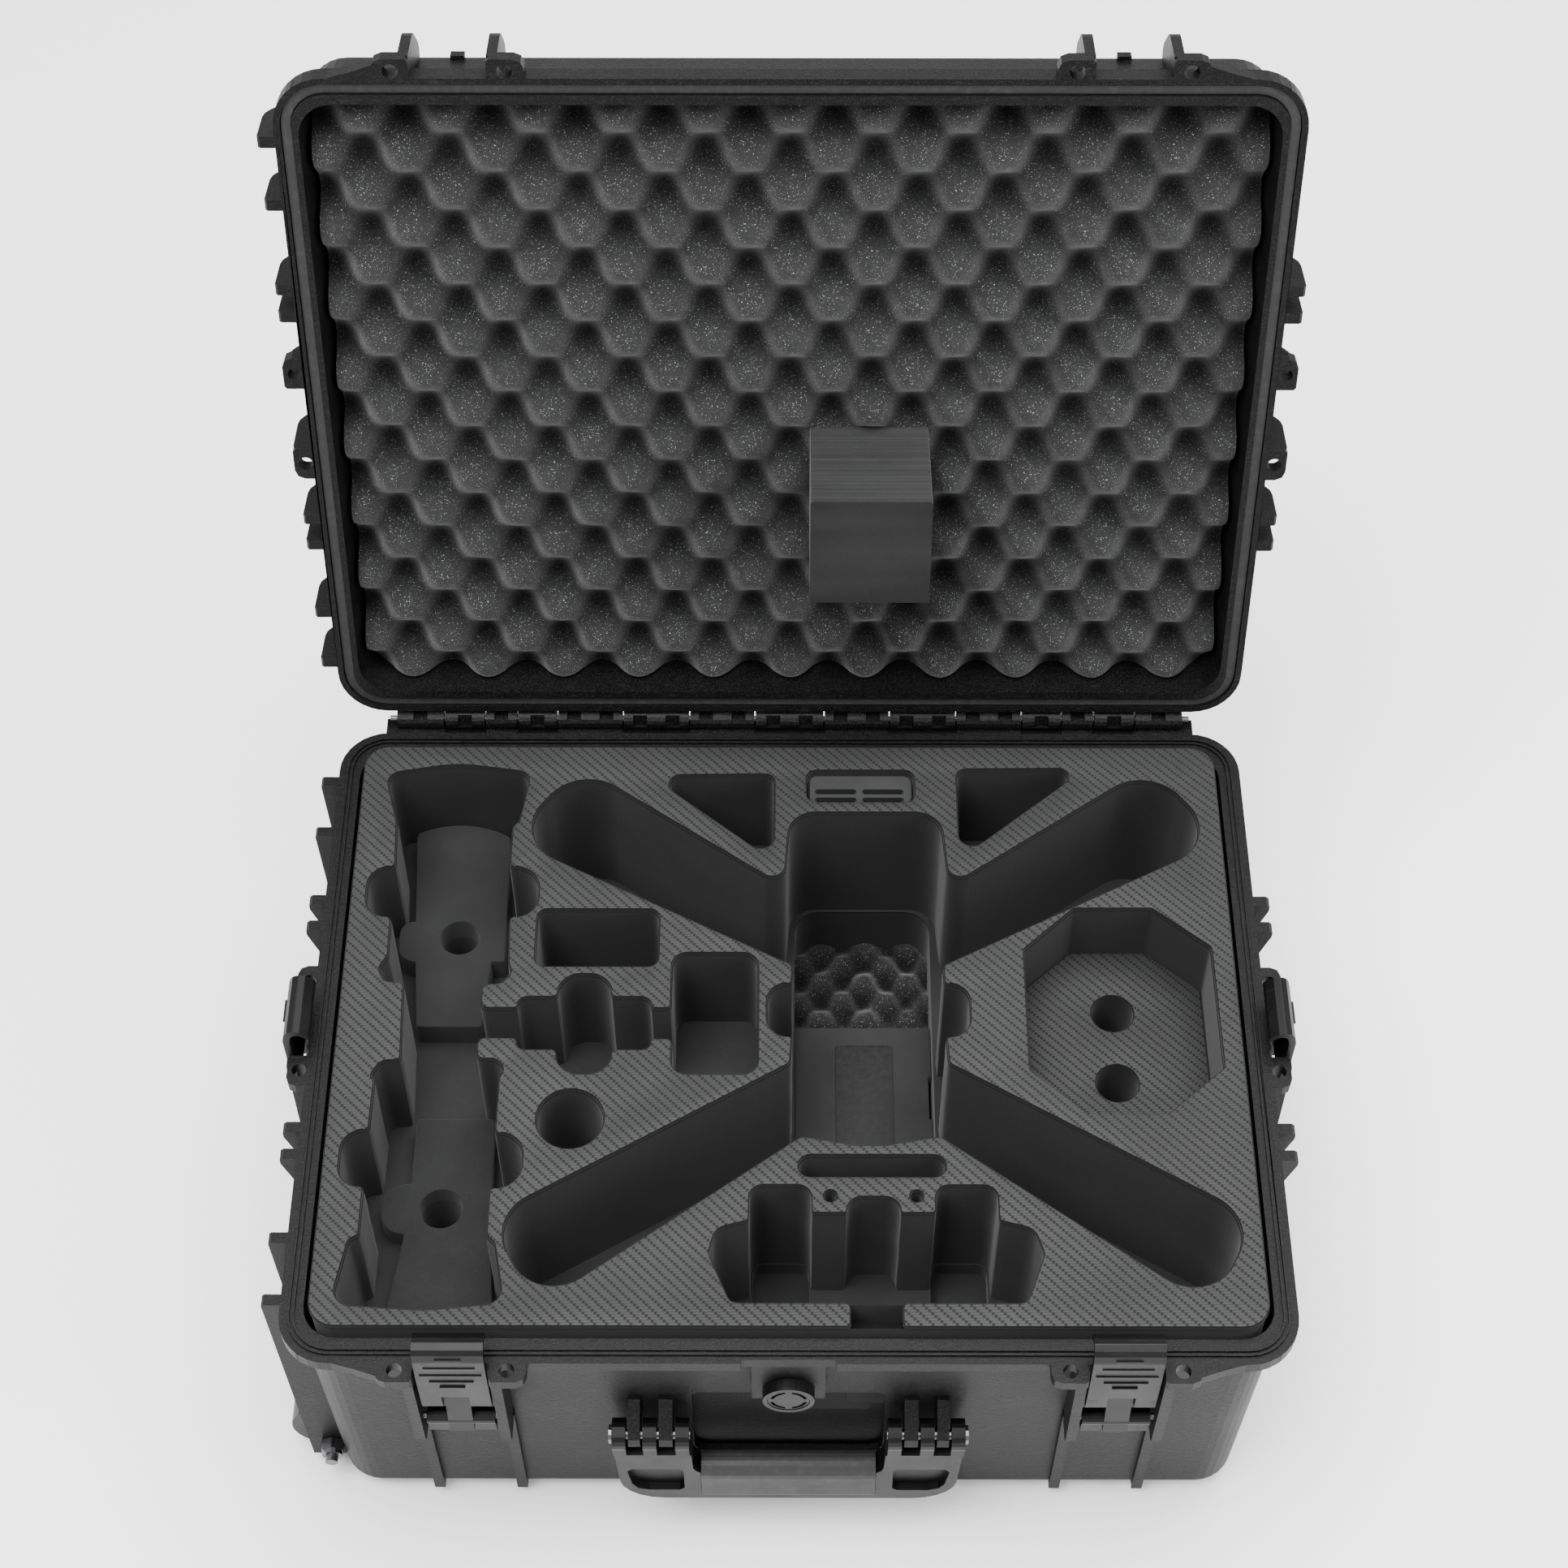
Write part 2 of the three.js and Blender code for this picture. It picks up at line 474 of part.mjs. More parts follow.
function baseShell() {
  const top = RIM - RIM_THICK;
  const flange = plate(rimOutline(), top, RIM);
  const tunnel = box(CHANNEL_END - 4, 300, -CHANNEL_Y - 4, CHANNEL_Y + 4, 0, CHANNEL_TOP + 3.5);
  const cavity = cut(
    drafted(
      plate(roundedShape(rectangle(WALL_X - WALL_THICK, WALL_Y - WALL_THICK, WALL_R - WALL_THICK), 2),
        BASE_FLOOR + 4, RIM + 10), RIM, BASE_DRAFT, WALL_X, WALL_Y),
    tunnel);
  const channel = box(CHANNEL_END, 310, -CHANNEL_Y, CHANNEL_Y, 0, CHANNEL_TOP);
  const boss = box(-21, 21, -BOSS_Y, -205, VALVE_Z - 12, top + 1);
  const valveSeat = bar("y", -BOSS_Y - 5, -200, [0, VALVE_Z], 6.4, 16);
  const recess = roundedBoxInWall(-56.5, 56.5, 62, 149, -RECESS_BACK);
  const backing = box(-62, 62, -206, -RECESS_BACK + WALL_THICK, 56, 155);
  const flangeNotch = box(-27, 27, -RIM_Y - 5, -RIM_Y + 2.5, top - 1, RIM + 1);
  const web = roundedShape([
    [215, RIM - 0.5, 0], [HINGE_Y - 3, RIM - 0.5, 0], [HINGE_Y, HINGE_Z, 0], [HINGE_Y + 4, HINGE_Z - 4, 3],
    [HINGE_Y, top + 2, 3], [215, top, 0],
  ]);
  const shelf = box(-262, 262, 212, HINGE_Y + 5, top - 2, HINGE_Z - KNUCKLE_R - 0.7);
  const feet = [-1, 1].flatMap((sx) => [-1, 1].map((sy) => (
    box(sx * 215 - 22, sx * 215 + 22, sy * 160 - 18, sy * 160 + 18, 0, BASE_FLOOR + 2))));
  const axleBore = join(
    bar("y", -WHEEL_Y - 40, -WHEEL_Y + 40, [WHEEL_X, WHEEL_Z], AXLE_R + GAP, 16),
    bar("y", WHEEL_Y - 40, WHEEL_Y + 40, [WHEEL_X, WHEEL_Z], AXLE_R + GAP, 16));
  const shellBox = box(-WALL_X, -230, -220, 220, BASE_FLOOR, 120);
  const linings = join(wheelBay(-WHEEL_Y, 6), wheelBay(WHEEL_Y, 6)).intersect(shellBox);
  const pinHoles = join(...HANDLE_LUGS.flatMap(([from, to]) => [from, -to].map((x) => (
    bar("x", x - 1, x + to - from + 1, HANDLE_AXIS, HANDLE_PIN_R + GAP, 12)))));

  let shell = join(baseBody(), flange, cornerWedge(-1, RIM - 8, RIM), cornerWedge(1, RIM - 8, RIM));
  STATIONS.forEach((station) => {
    shell = shell.add(placed(join(latchLugs(RIM - 8, RIM), latchRibs(station)), station));
  });
  shell = join(shell, baseSideRibs(), baseFrontRibs(), boss, shelf, hingeLeaf(false, web));
  shell = cut(shell, recess, cavity.subtract(linings).subtract(backing), channel, flangeNotch);
  const ridges = RIDGES.map((reach) => sealRing(RIM - 1, RIM + RIDGE_HEIGHT, reach, RIDGE_WIDTH));
  shell = join(shell, handleLugs(), ...ridges, ...feet);
  STATIONS.forEach((station) => {
    shell = shell.subtract(placed(lugHoles(RIM - 20, RIM + 5), station));
    shell = shell.subtract(placed(latchPinBore(station), station));
  });
  return cut(shell, valveSeat, axleBore, wheelBay(-WHEEL_Y, 2.5), wheelBay(WHEEL_Y, 2.5), pinHoles);
}

function latchPinBore(station) {
  const [w, z] = ARM_AXIS;
  return bar("x", -LUG_IN - 8, LUG_IN + 8, [-w - station.out, z], LATCH_PIN_R + GAP, 10);
}

// The shallow hand recess in the front wall.
function roundedBoxInWall(x0, x1, z0, z1, y) {
  const shape = roundedShape([[x0, z0, 8], [x1, z0, 8], [x1, z1, 4], [x0, z1, 4]]);
  const geometry = new THREE.ExtrudeGeometry(shape, { depth: 40, bevelEnabled: false, curveSegments: 6 });
  return solid(geometry.rotateX(Math.PI / 2).translate(0, y, 0));
}

// ---------------------------------------------------------------- lid, drawn closed and then opened

const lid = new THREE.Group();
lid.position.set(0, HINGE_Y, HINGE_Z);
lid.rotation.x = THREE.MathUtils.degToRad(-LID_OPEN_DEG);
part.add(lid);

const lidNode = (name, manifold, material) => {
  node(name, manifold, material, lid).position.set(0, -HINGE_Y, -HINGE_Z);
};

// Ribs down the lid's sides, rounded over at the top.
function lidSideRibs() {
  const shape = roundedShape([
    [-270, LID_RIM, 0], [-270, 262, 0], [-282, 262, 10], [-RIB_X, 244, 14], [-RIB_X, LID_RIM, 1.5],
  ], 1.2);
  const ribs = GUARD_RIBS.map((y) => sideRib(shape, y, -1));
  STRUT_RIBS.forEach((y) => ribs.push(sideRib(shape, y, -1), sideRib(shape, y, 1)));
  return join(...ribs);
}

// Guards that stand beside each latch hook.
function latchFins() {
  const shape = roundedShape([
    [14, SKIRT_TOP - 8, 0], [14, LID_TOP - 1, 0], [6, LID_TOP - 1, 6], [-LUG_REACH - 0.5, 248, 14],
    [-LUG_REACH, SKIRT_TOP - 8, 0],
  ], 1.4);
  return join(crossPlate(shape, LUG_IN, LUG_IN + 6), crossPlate(shape, -LUG_IN - 6, -LUG_IN));
}

function lidShell() {
  const skirt = plate(rimOutline(), LID_RIM, SKIRT_TOP);
  const wall = (inset) => roundedShape(rectangle(WALL_X - inset, WALL_Y - inset, WALL_R - inset), 2);
  const outer = drafted(plate(wall(0), SKIRT_TOP - 1, LID_TOP), SKIRT_TOP, LID_DRAFT, WALL_X, WALL_Y);
  const cavity = drafted(
    plate(wall(WALL_THICK), LID_RIM - 5, LID_TOP - LID_PANEL), LID_RIM, LID_DRAFT, WALL_X, WALL_Y);
  const groove = sealRing(LID_RIM - 2, LID_RIM + 6, RIDGES[0] + 1, GROOVE_WIDTH);
  const relief = [-120, -40, 40, 120].map((y) => (
    box(-235, 235, y - 26, y + 26, LID_TOP - 1, LID_TOP + 1.6)));
  const nubs = [-LATCH_X, LATCH_X].map((x) => box(x - 4, x + 4, -210, -195, LID_TOP - 4, LID_TOP + 2));
  const web = roundedShape([[215, LID_RIM + 0.2, 0], [HINGE_Y - 4, LID_RIM + 1.5, 0], [HINGE_Y, HINGE_Z, 0],
    [HINGE_Y + 3, HINGE_Z + 4.5, 3], [HINGE_Y - 4, SKIRT_TOP - 1, 3], [215, SKIRT_TOP - 1, 0]]);
  let shell = join(
    skirt, outer, cornerWedge(-1, LID_RIM, LID_RIM + 9), cornerWedge(1, LID_RIM, LID_RIM + 9));
  STATIONS.forEach((station) => {
    shell = shell.add(placed(join(latchLugs(LID_RIM, LID_RIM + 9), latchFins()), station));
  });
  shell = join(shell, lidSideRibs(), ...relief, ...nubs, hingeLeaf(true, web));
  shell = cut(shell, cavity, groove);
  STATIONS.forEach((station) => {
    shell = shell.subtract(placed(lugHoles(LID_RIM - 5, LID_RIM + 20), station));
  });
  return shell;
}

// ---------------------------------------------------------------- latches

function latchArm(out) {
  const [w, z] = ARM_AXIS;
  const [w2, z2] = LEVER_AXIS;
  const y = -w - out;
  const y2 = -w2 - out;
  const barrel = bar("x", -LATCH_HALF + 0.3, LATCH_HALF - 0.3, [y, z], 5, 16);
  const foot = box(-19.5, 19.5, y - 2.5, y + 2.5, ARM_FOOT, z);
  const tongue = crossPlate(roundedShape([
    [y + 3, z - 10, 0], [y2 + 3.2, z2 + 4, 3], [y2 - 3.2, z2 + 4, 3], [y - 5.5, z - 10, 0],
  ].reverse()), -7.2, 7.2);
  return cut(
    join(barrel, foot, tongue),
    bar("x", -30, 30, [y, z], LATCH_PIN_R + GAP, 10),
    bar("x", -30, 30, [y2, z2], LATCH_PIN_R + GAP, 10));
}

function latchLever(out) {
  const [w2, z2] = LEVER_AXIS;
  const y2 = -w2 - out;
  const profile = roundedShape([
    [-5, 167.5, 1], [-6.4, 205, 60], [-6.6, 228, 6], [-4, 238, 6], [3, 238.5, 5], [10, 233, 2],
    [10.2, 229.8, 1], [7.6, 229.8, 1], [5, 233.4, 2], [-1, 234, 3], [-2.6, 226, 3], [-2.4, 205, 60],
    [-1, 167.5, 0.6],
  ].map(([y, z, r]) => [y - out, z, r]), 1.3);
  const plateBody = crossPlate(profile, -LATCH_HALF, LATCH_HALF);
  const notch = box(-7.9, 7.9, -12 - out, 8 - out, 160, 181.5);
  const ear = (x0, x1) => crossPlate(roundedShape([
    [-3 - out, z2 - 6, 0], [y2 + 4, z2 - 4, 3.5], [y2 + 4, z2 + 5, 3.5], [-3.5 - out, z2 + 12, 0],
  ]), x0, x1);
  const lines = LEVER_LINES.map(([height, length]) => box(
    -length / 2, length / 2, -7.2 - out, -4 - out, height - 0.5, height + 0.5));
  return cut(
    join(plateBody.subtract(notch), ear(8.2, 13), ear(-13, -8.2), ...lines),
    bar("x", -30, 30, [y2, z2], LATCH_PIN_R + GAP, 10));
}

function addLatches() {
  STATIONS.forEach((station) => {
    const group = new THREE.Group();
    group.position.set(station.x, station.y, 0);
    group.rotation.z = station.turn;
    part.add(group);
    const out = station.out;
    const [w, z] = ARM_AXIS;
    const [w2, z2] = LEVER_AXIS;
    node(`latch_arm_${station.name}`, latchArm(out), smoothPlastic(), group);
    node(`latch_lever_${station.name}`, latchLever(out), smoothPlastic(), group);
    node(`latch_pin_${station.name}`,
      bar("x", -LUG_IN - 6, LUG_IN + 6, [-w - out, z], LATCH_PIN_R, 10), steel(), group);
    node(`lever_pin_${station.name}`, bar("x", -13, 13, [-w2 - out, z2], LATCH_PIN_R, 10), steel(), group);
  });
}

// ---------------------------------------------------------------- carry handle

function handleFrame() {
  const [y, z] = HANDLE_AXIS;
  const neck = z - 12;
  const outline = roundedShape([
    [-HANDLE_HALF + 1, neck, 0], [-HANDLE_HALF + 4, HANDLE_BOTTOM, 26],
    [HANDLE_HALF - 4, HANDLE_BOTTOM, 26], [HANDLE_HALF - 1, neck, 0], [HANDLE_INNER + 1, neck, 0],
    [HANDLE_INNER, 86, 8], [-HANDLE_INNER, 86, 8], [-HANDLE_INNER - 1, neck, 0],
  ], 1.4);
  const upright = (shape, y0, y1) => {
    const geometry = new THREE.ExtrudeGeometry(shape, { depth: y1 - y0, bevelEnabled: false, curveSegments: 6 });
    return solid(geometry.rotateX(Math.PI / 2).translate(0, y1, 0));
  };
  const body = upright(outline, y - 8, y + 7);
  const knuckles = HANDLE_KNUCKLES.flatMap(([from, to]) => [[from, to], [-to, -from]]).map(([a, b]) => join(
    bar("x", a, b, [y, z], HANDLE_KNUCKLE_R, 20),
    box(a, b, y - 8, y + 7, neck - 1, z)));
  const pocketShape = roundedShape([[62, 62, 3], [92, 62, 10], [96, 92, 3], [62, 92, 3]]);
  const pockets = [pocketShape, mirrored(pocketShape)].map((shape) => upright(shape, y - 12, y - 3));
  const waist = (y0, y1) => box(-52, 52, y0, y1, HANDLE_BOTTOM + 6, 120);
  return cut(
    join(body, ...knuckles),
    ...pockets, waist(y - 20, y - 5), waist(y + 4, y + 20),
    box(-52, 52, y - 6, y + 5, 82, 120),
    bar("x", -HANDLE_HALF - 5, HANDLE_HALF + 5, [y, z], HANDLE_PIN_R + GAP, 12));
}

function handleGrip() {
  const [y] = HANDLE_AXIS;
  const section = roundedShape([
    [y - 10, HANDLE_BOTTOM + 6.3, 4], [y + 8, HANDLE_BOTTOM + 6.3, 3], [y + 8, 91, 8], [y - 10, 91, 8],
  ], 2);
  return crossPlate(section, -51.7, 51.7).subtract(box(-60, 60, y - 5.3, y + 4.3, 0, 82.3));
}

function addHandle() {
  const [y, z] = HANDLE_AXIS;
  node("handle_frame", handleFrame(), smoothPlastic());
  node("handle_grip", handleGrip(), rubber());
  [["left", -1], ["right", 1]].forEach(([side, sign]) => {
    const pin = join(
      bar("x", HANDLE_INNER + 1.5, HANDLE_HALF + 0.5, [y, z], HANDLE_PIN_R, 12),
      bar("x", HANDLE_HALF + 0.3, HANDLE_HALF + 2, [y, z], 5.5, 12));
    const geometry = geometryOf(pin);
    if (sign < 0) geometry.rotateZ(Math.PI).translate(0, 2 * y, 0);
    node(`handle_pin_${side}`, solid(geometry), steel());
  });
}

// ---------------------------------------------------------------- pressure valve

function addValve() {
  const front = -BOSS_Y - GAP;
  const body = join(
    bar("y", front - 7, front, [0, VALVE_Z], VALVE_R, 28),
    bar("y", front - 1, -203.5, [0, VALVE_Z], 6, 16));
  const seat = bar("y", front - 10, front - 5.4, [0, VALVE_Z], 12.3, 28);
  node("valve_body", body.subtract(seat), smoothPlastic());
  const ring = bar("y", front - 10, front, [0, VALVE_Z], 10.8, 28).subtract(
    bar("y", front - 11, front + 1, [0, VALVE_Z], 8.8, 28));
  const bridges = join(
    box(-20, 20, front - 11, front + 1, VALVE_Z - 2, VALVE_Z + 2),
    box(-2, 2, front - 11, front + 1, VALVE_Z - 20, VALVE_Z + 20));
  const vents = ring.subtract(bridges);
  node("valve_cap", bar("y", front - 6.6, front - 5.7, [0, VALVE_Z], 12, 28).subtract(vents), smoothPlastic());
}

// ---------------------------------------------------------------- wheels

function addWheels() {
  [["front", -1], ["rear", 1]].forEach(([name, side]) => {
    const y = side * WHEEL_Y;
    const half = WHEEL_WIDTH / 2;
    const hub = cut(
      bar("y", y - half + 1, y + half - 1, [WHEEL_X, WHEEL_Z], HUB_R, 24),
      bar("y", y - 30, y + 30, [WHEEL_X, WHEEL_Z], AXLE_R + GAP, 16),
      bar("y", y + side * (half - 4) - 4, y + side * (half - 4) + 4, [WHEEL_X, WHEEL_Z], 12, 20));
    const tyre = cut(
      bar("y", y - half, y + half, [WHEEL_X, WHEEL_Z], WHEEL_R, 28),
      bar("y", y - 30, y + 30, [WHEEL_X, WHEEL_Z], HUB_R + GAP, 24));
    node(`wheel_hub_${name}`, hub, smoothPlastic());
    node(`wheel_tyre_${name}`, tyre, rubber());
    const inner = side * (WHEEL_Y - 24);
    const tip = side * (WHEEL_Y + 37);
    const head = [inner - side * 6.5, inner - side * 0.5];
    const bolt = join(
      bar("y", Math.min(inner - side, tip), Math.max(inner - side, tip), [WHEEL_X, WHEEL_Z], AXLE_R - 0.2, 14),
      bar("y", Math.min(...head), Math.max(...head), [WHEEL_X, WHEEL_Z], 6.8, 6));
    node(`axle_bolt_${name}`, bolt, steel());
    const seat = side * (183 + RIB_THICK / 2 + GAP);
    const flatEnd = seat + side * 6.5;
    const nutEnd = seat + side * 9;
    const nut = cut(
      join(
        bar("y", Math.min(seat, flatEnd), Math.max(seat, flatEnd), [WHEEL_X, WHEEL_Z], 7.6, 6),
        bar("y", Math.min(seat, nutEnd), Math.max(seat, nutEnd), [WHEEL_X, WHEEL_Z], 6.3, 16)),
      bar("y", -260, 260, [WHEEL_X, WHEEL_Z], AXLE_R, 14));
    node(`axle_nut_${name}`, nut, steel());
  });
}

// ---------------------------------------------------------------- pull handle under the base

function addPullHandle() {
  const cover = cut(
    box(CHANNEL_END + 1, GUIDE_X[0] - 1, -CHANNEL_Y + GAP, CHANNEL_Y - GAP, 0, BASE_FLOOR + 1),
    box(CHANNEL_END + 4, GUIDE_X[0] + 5, -CHANNEL_Y + 4, CHANNEL_Y - 4, 3, BASE_FLOOR + 5));
  node("trolley_cover", cover, plastic());
  const guide = cut(
    box(GUIDE_X[0], GUIDE_X[1], -CHANNEL_Y + GAP, CHANNEL_Y - GAP, 3.4, CHANNEL_TOP - GAP),
    bar("x", 180, 260, [TUBE_Y, TUBE_Z], TUBE_R + GAP, 16),
    bar("x", 180, 260, [-TUBE_Y, TUBE_Z], TUBE_R + GAP, 16));
  node("trolley_guide", guide, plastic());
  [["front", -1], ["rear", 1]].forEach(([name, side]) => {
    const tube = cut(
      bar("x", TUBE_START, GRIP_BACK - GAP, [side * TUBE_Y, TUBE_Z], TUBE_R, 14),
      bar("x", TUBE_START - 5, GRIP_BACK - 10, [side * TUBE_Y, TUBE_Z], TUBE_R - 1.4, 14));
    node(`trolley_tube_${name}`, tube, aluminium());
  });
  const gripShape = roundedShape([
    [GRIP_BACK, -90, 4], [GRIP_FRONT, -90, 10], [GRIP_FRONT, 90, 10], [GRIP_BACK, 90, 4],
  ]);
  node("trolley_grip", plate(gripShape, 3, CHANNEL_TOP - 1.5), smoothPlastic());
}

// ---------------------------------------------------------------- foam

const pocket = (outline, floor) => plate(roundedShape(outline), floor, FOAM_TOP + 5);
const well = ({ x, y, r, floor }) => bar("z", floor, FOAM_TOP + 5, [x, y], r, 16);

function foamLayers() {
  const outline = roundedShape(FOAM_OUTLINE);
  const pockets = [...POCKETS.map(([shape, floor]) => pocket(shape, floor)), ...WELLS.map(well)];
  const recessRelief = box(-63, 63, -215, -RECESS_BACK + WALL_THICK + 0.5, 50, 156);
  node("foam_top_sheet", cut(plate(outline, SHEET_BOTTOM, FOAM_TOP), ...pockets), twillFoam());
  const layer = (z0, z1) => plate(roundedShape(rectangle(271.5, 202.5, 16)), z0, z1);
  const upper = layer(POCKET_FLOOR, SHEET_BOTTOM - GAP);
  node("foam_upper_block", cut(upper, ...pockets, recessRelief), foam());
  const middle = layer(SEAM, POCKET_FLOOR - GAP);
  node("foam_middle_block", cut(middle, ...pockets, recessRelief), foam());
  const bays = [wheelBay(-WHEEL_Y, 7), wheelBay(WHEEL_Y, 7)];
  const lower = plate(roundedShape(rectangle(268, 197, 14)), BODY_FLOOR, SEAM - GAP);
  node("foam_lower_block", cut(lower, ...pockets, recessRelief, ...bays), foam());
  const tunnel = box(CHANNEL_END - 5, 300, -CHANNEL_Y - 5, CHANNEL_Y + 5, 0, CHANNEL_TOP + 4);
  const bottom = plate(roundedShape(rectangle(266, 195, 13)), FOAM_BOTTOM, BODY_FLOOR - GAP);
  node("foam_bottom_block", cut(bottom, tunnel, ...bays), foam());
}

// A removable insert: a plate with round finger holes.
function insert(name, outline, z0, z1, holes, material) {
  const fingers = holes.map(({ x, y, r }) => bar("z", z0 - 1, z1 + 1, [x, y], r, 18));
  node(name, cut(plate(roundedShape(outline), z0, z1), ...fingers), material);
}

function addInserts() {
  insert("remote_insert_upper", [
    [-243, 179, 4], [-239, 110, 1], [-248.5, 110, 14], [-248.5, 80, 14], [-237, 79.5, 1], [-233, 31, 2],
    [-192, 31, 2], [-189, 79.5, 1], [-180.5, 79.5, 2], [-182, 176, 4], [-212, 192, 60],
  ], POCKET_FLOOR + GAP, 162, REMOTE_FINGERS.slice(0, 1), foam());
  insert("remote_insert_lower", [
    [-228, -32, 3], [-228, -77, 1], [-245, -77, 16], [-245, -111, 16], [-230, -111, 1], [-240, -187, 3],
    [-172, -187, 3], [-179, -111, 1], [-180, -32, 3],
  ], POCKET_FLOOR + GAP, 157, REMOTE_FINGERS.slice(1), foam());
  const inset = CHARGER_POCKET.map(([x, y, r]) => [
    201.5 + (x - 201.5) * 0.985, 8 + (y - 8) * 0.985, r]);
  insert("charger_insert", inset, POCKET_FLOOR + GAP, 174, CHARGER_FINGERS, twillFoam());
  const slots = [17, 47].flatMap((x) => [164.5, 171].map((y) => box(x, x + 25, y, y + 2.6, 210, 230)));
  const trayShape = roundedShape([
    [12, 162.5, 5.5], [78.5, 162.5, 5.5], [78.5, 185.5, 5.5], [12, 185.5, 5.5],
  ]);
  node("card_tray", cut(plate(trayShape, CARD_FLOOR + GAP, 218), ...slots), foam());
  const padShape = roundedShape([[3, 76, 0], [93, 76, 0], [93, 151, 16], [3, 151, 16]]);
  node("egg_pad", plate(padShape, BODY_FLOOR + GAP, 68), eggFoam());
  const restShape = roundedShape([[3, -77, 7], [93, -77, 7], [93, 74, 0], [3, 74, 0]]);
  const notch = box(90.4, 94, 5.7, 36.6, 72, 95);
  node("rest_block", cut(plate(restShape, BODY_FLOOR + GAP, 92), notch), foam());
}

// ---------------------------------------------------------------- assembly

node("base_shell", baseShell(), plastic());
node("hinge_pin_left", bar("x", -259, -1, [HINGE_Y, HINGE_Z], HINGE_PIN_R, 10), steel());
node("hinge_pin_right", bar("x", 1, 259, [HINGE_Y, HINGE_Z], HINGE_PIN_R, 10), steel());
lidNode("lid_shell", lidShell(), plastic());
lidNode("lid_gasket",
  sealRing(LID_RIM + 2.2, LID_RIM + 5.7, RIDGES[0] + 0.6, GROOVE_WIDTH - 0.8), rubber());
lidNode("lid_egg_foam",
  plate(roundedShape(rectangle(268, 200, 16)), EGG_FACE, LID_TOP - LID_PANEL - GAP), eggFoam());
lidNode("lid_foam_block", box(12, 84, 16, 91, 152, EGG_FACE - GAP), foam());
addLatches();
addHandle();
addValve();
addWheels();
addPullHandle();
foamLayers();
addInserts();

export default part;
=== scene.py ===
"""A rolling hard case for a drone, lid open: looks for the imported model, in metres."""
import json
import math

import bpy
from mathutils import Matrix, Vector, noise
from mathutils.geometry import delaunay_2d_cdt


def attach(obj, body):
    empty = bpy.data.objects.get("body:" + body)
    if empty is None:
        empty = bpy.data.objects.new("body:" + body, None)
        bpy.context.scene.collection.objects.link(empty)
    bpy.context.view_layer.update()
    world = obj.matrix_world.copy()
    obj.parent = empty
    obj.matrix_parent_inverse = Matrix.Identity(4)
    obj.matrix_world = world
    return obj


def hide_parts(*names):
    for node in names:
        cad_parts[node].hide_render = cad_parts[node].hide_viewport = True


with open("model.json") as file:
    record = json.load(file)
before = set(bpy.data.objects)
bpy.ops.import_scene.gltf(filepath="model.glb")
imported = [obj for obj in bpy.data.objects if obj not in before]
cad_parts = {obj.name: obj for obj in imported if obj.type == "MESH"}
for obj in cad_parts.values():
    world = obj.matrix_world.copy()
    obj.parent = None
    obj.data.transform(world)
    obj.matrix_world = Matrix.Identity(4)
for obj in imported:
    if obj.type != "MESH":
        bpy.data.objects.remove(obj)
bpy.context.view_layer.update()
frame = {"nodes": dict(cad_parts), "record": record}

MM = 0.001
FOAM_TOP = 222
SHEET_BOTTOM = 219
POCKET_FLOOR = 143  # bottom of the upper layer of foam
SEAM = 112  # top of the lower block of foam
CAMERA_FLOOR = 124
TWILL_CELL = 1.7
CROSS_X = 48  # middle of the drone's X-shaped bed
BODY_FLOOR = 50
HINGE = (0, 231, 218)
LID_OPEN_DEG = 104
EGG_PEAK = 222.8  # lid closed: lowest points of the egg-crate foam
EGG_VALLEY = 245
LID_PANEL = 267
EGG_PITCH_X = 48.6
EGG_PITCH_Y = 49.0
SHEET_GROWTH = 0.5  # how much wider the skin is cut than the foam below it

LID_PLACE = (Matrix.Translation(Vector(HINGE) * MM) @ Matrix.Rotation(math.radians(-LID_OPEN_DEG), 4, "X")
             @ Matrix.Translation(-Vector(HINGE) * MM))

# ------------------------------------------------------------ outlines: (x, y, corner radius), mm

REMOTE_BAY = [
    (-257, 183, 8), (-247.5, 146, 5), (-245.5, 111, 3), (-262, 111, 17), (-262, 74, 17), (-245.5, 74, 3),
    (-245, 45, 4), (-250, 36, 5), (-246, 27, 5), (-234, 26, 3), (-231.5, -29.5, 3), (-243, -30, 6),
    (-249, -40, 4), (-246, -43, 3), (-246.5, -77, 3), (-262, -77, 18), (-262, -114, 18), (-246.5, -114, 3),
    (-246.5, -146, 3), (-252, -149, 4), (-259, -189, 10), (-206, -192.5, 80), (-162, -188, 9),
    (-169, -151, 4), (-174, -146, 3), (-174, -115, 3), (-156, -115, 18), (-156, -79, 18), (-173, -79, 3),
    (-173, -42, 3), (-170, -34, 5), (-176, -28.5, 5), (-187, -29, 5), (-187.5, -13, 5), (-163, -13, 3),
    (-163.5, -21, 6), (-139, -21, 3), (-139, -38, 14), (-106.5, -38, 14), (-106.5, -21, 3), (-83, -21, 6),
    (-83, -13.5, 2), (-70, -13.5, 3), (-70, -38, 9), (-19, -38, 9), (-19.5, 47, 9), (-71, 47, 9),
    (-71, 7, 3), (-83.5, 7, 2), (-84, 15, 6), (-108, 15, 3), (-108, 31.5, 14), (-140, 31.5, 14),
    (-140, 15, 3), (-164, 15, 6), (-164, 7, 2), (-187, 7, 5), (-187, 25, 5), (-175, 25.5, 5),
    (-169.5, 33, 5), (-172, 41, 4), (-173, 74, 3), (-156, 74, 18), (-156, 111, 18), (-175, 111, 3),
    (-175, 142, 4), (-171, 147, 3), (-165.5, 184, 8), (-212, 191, 80),
]
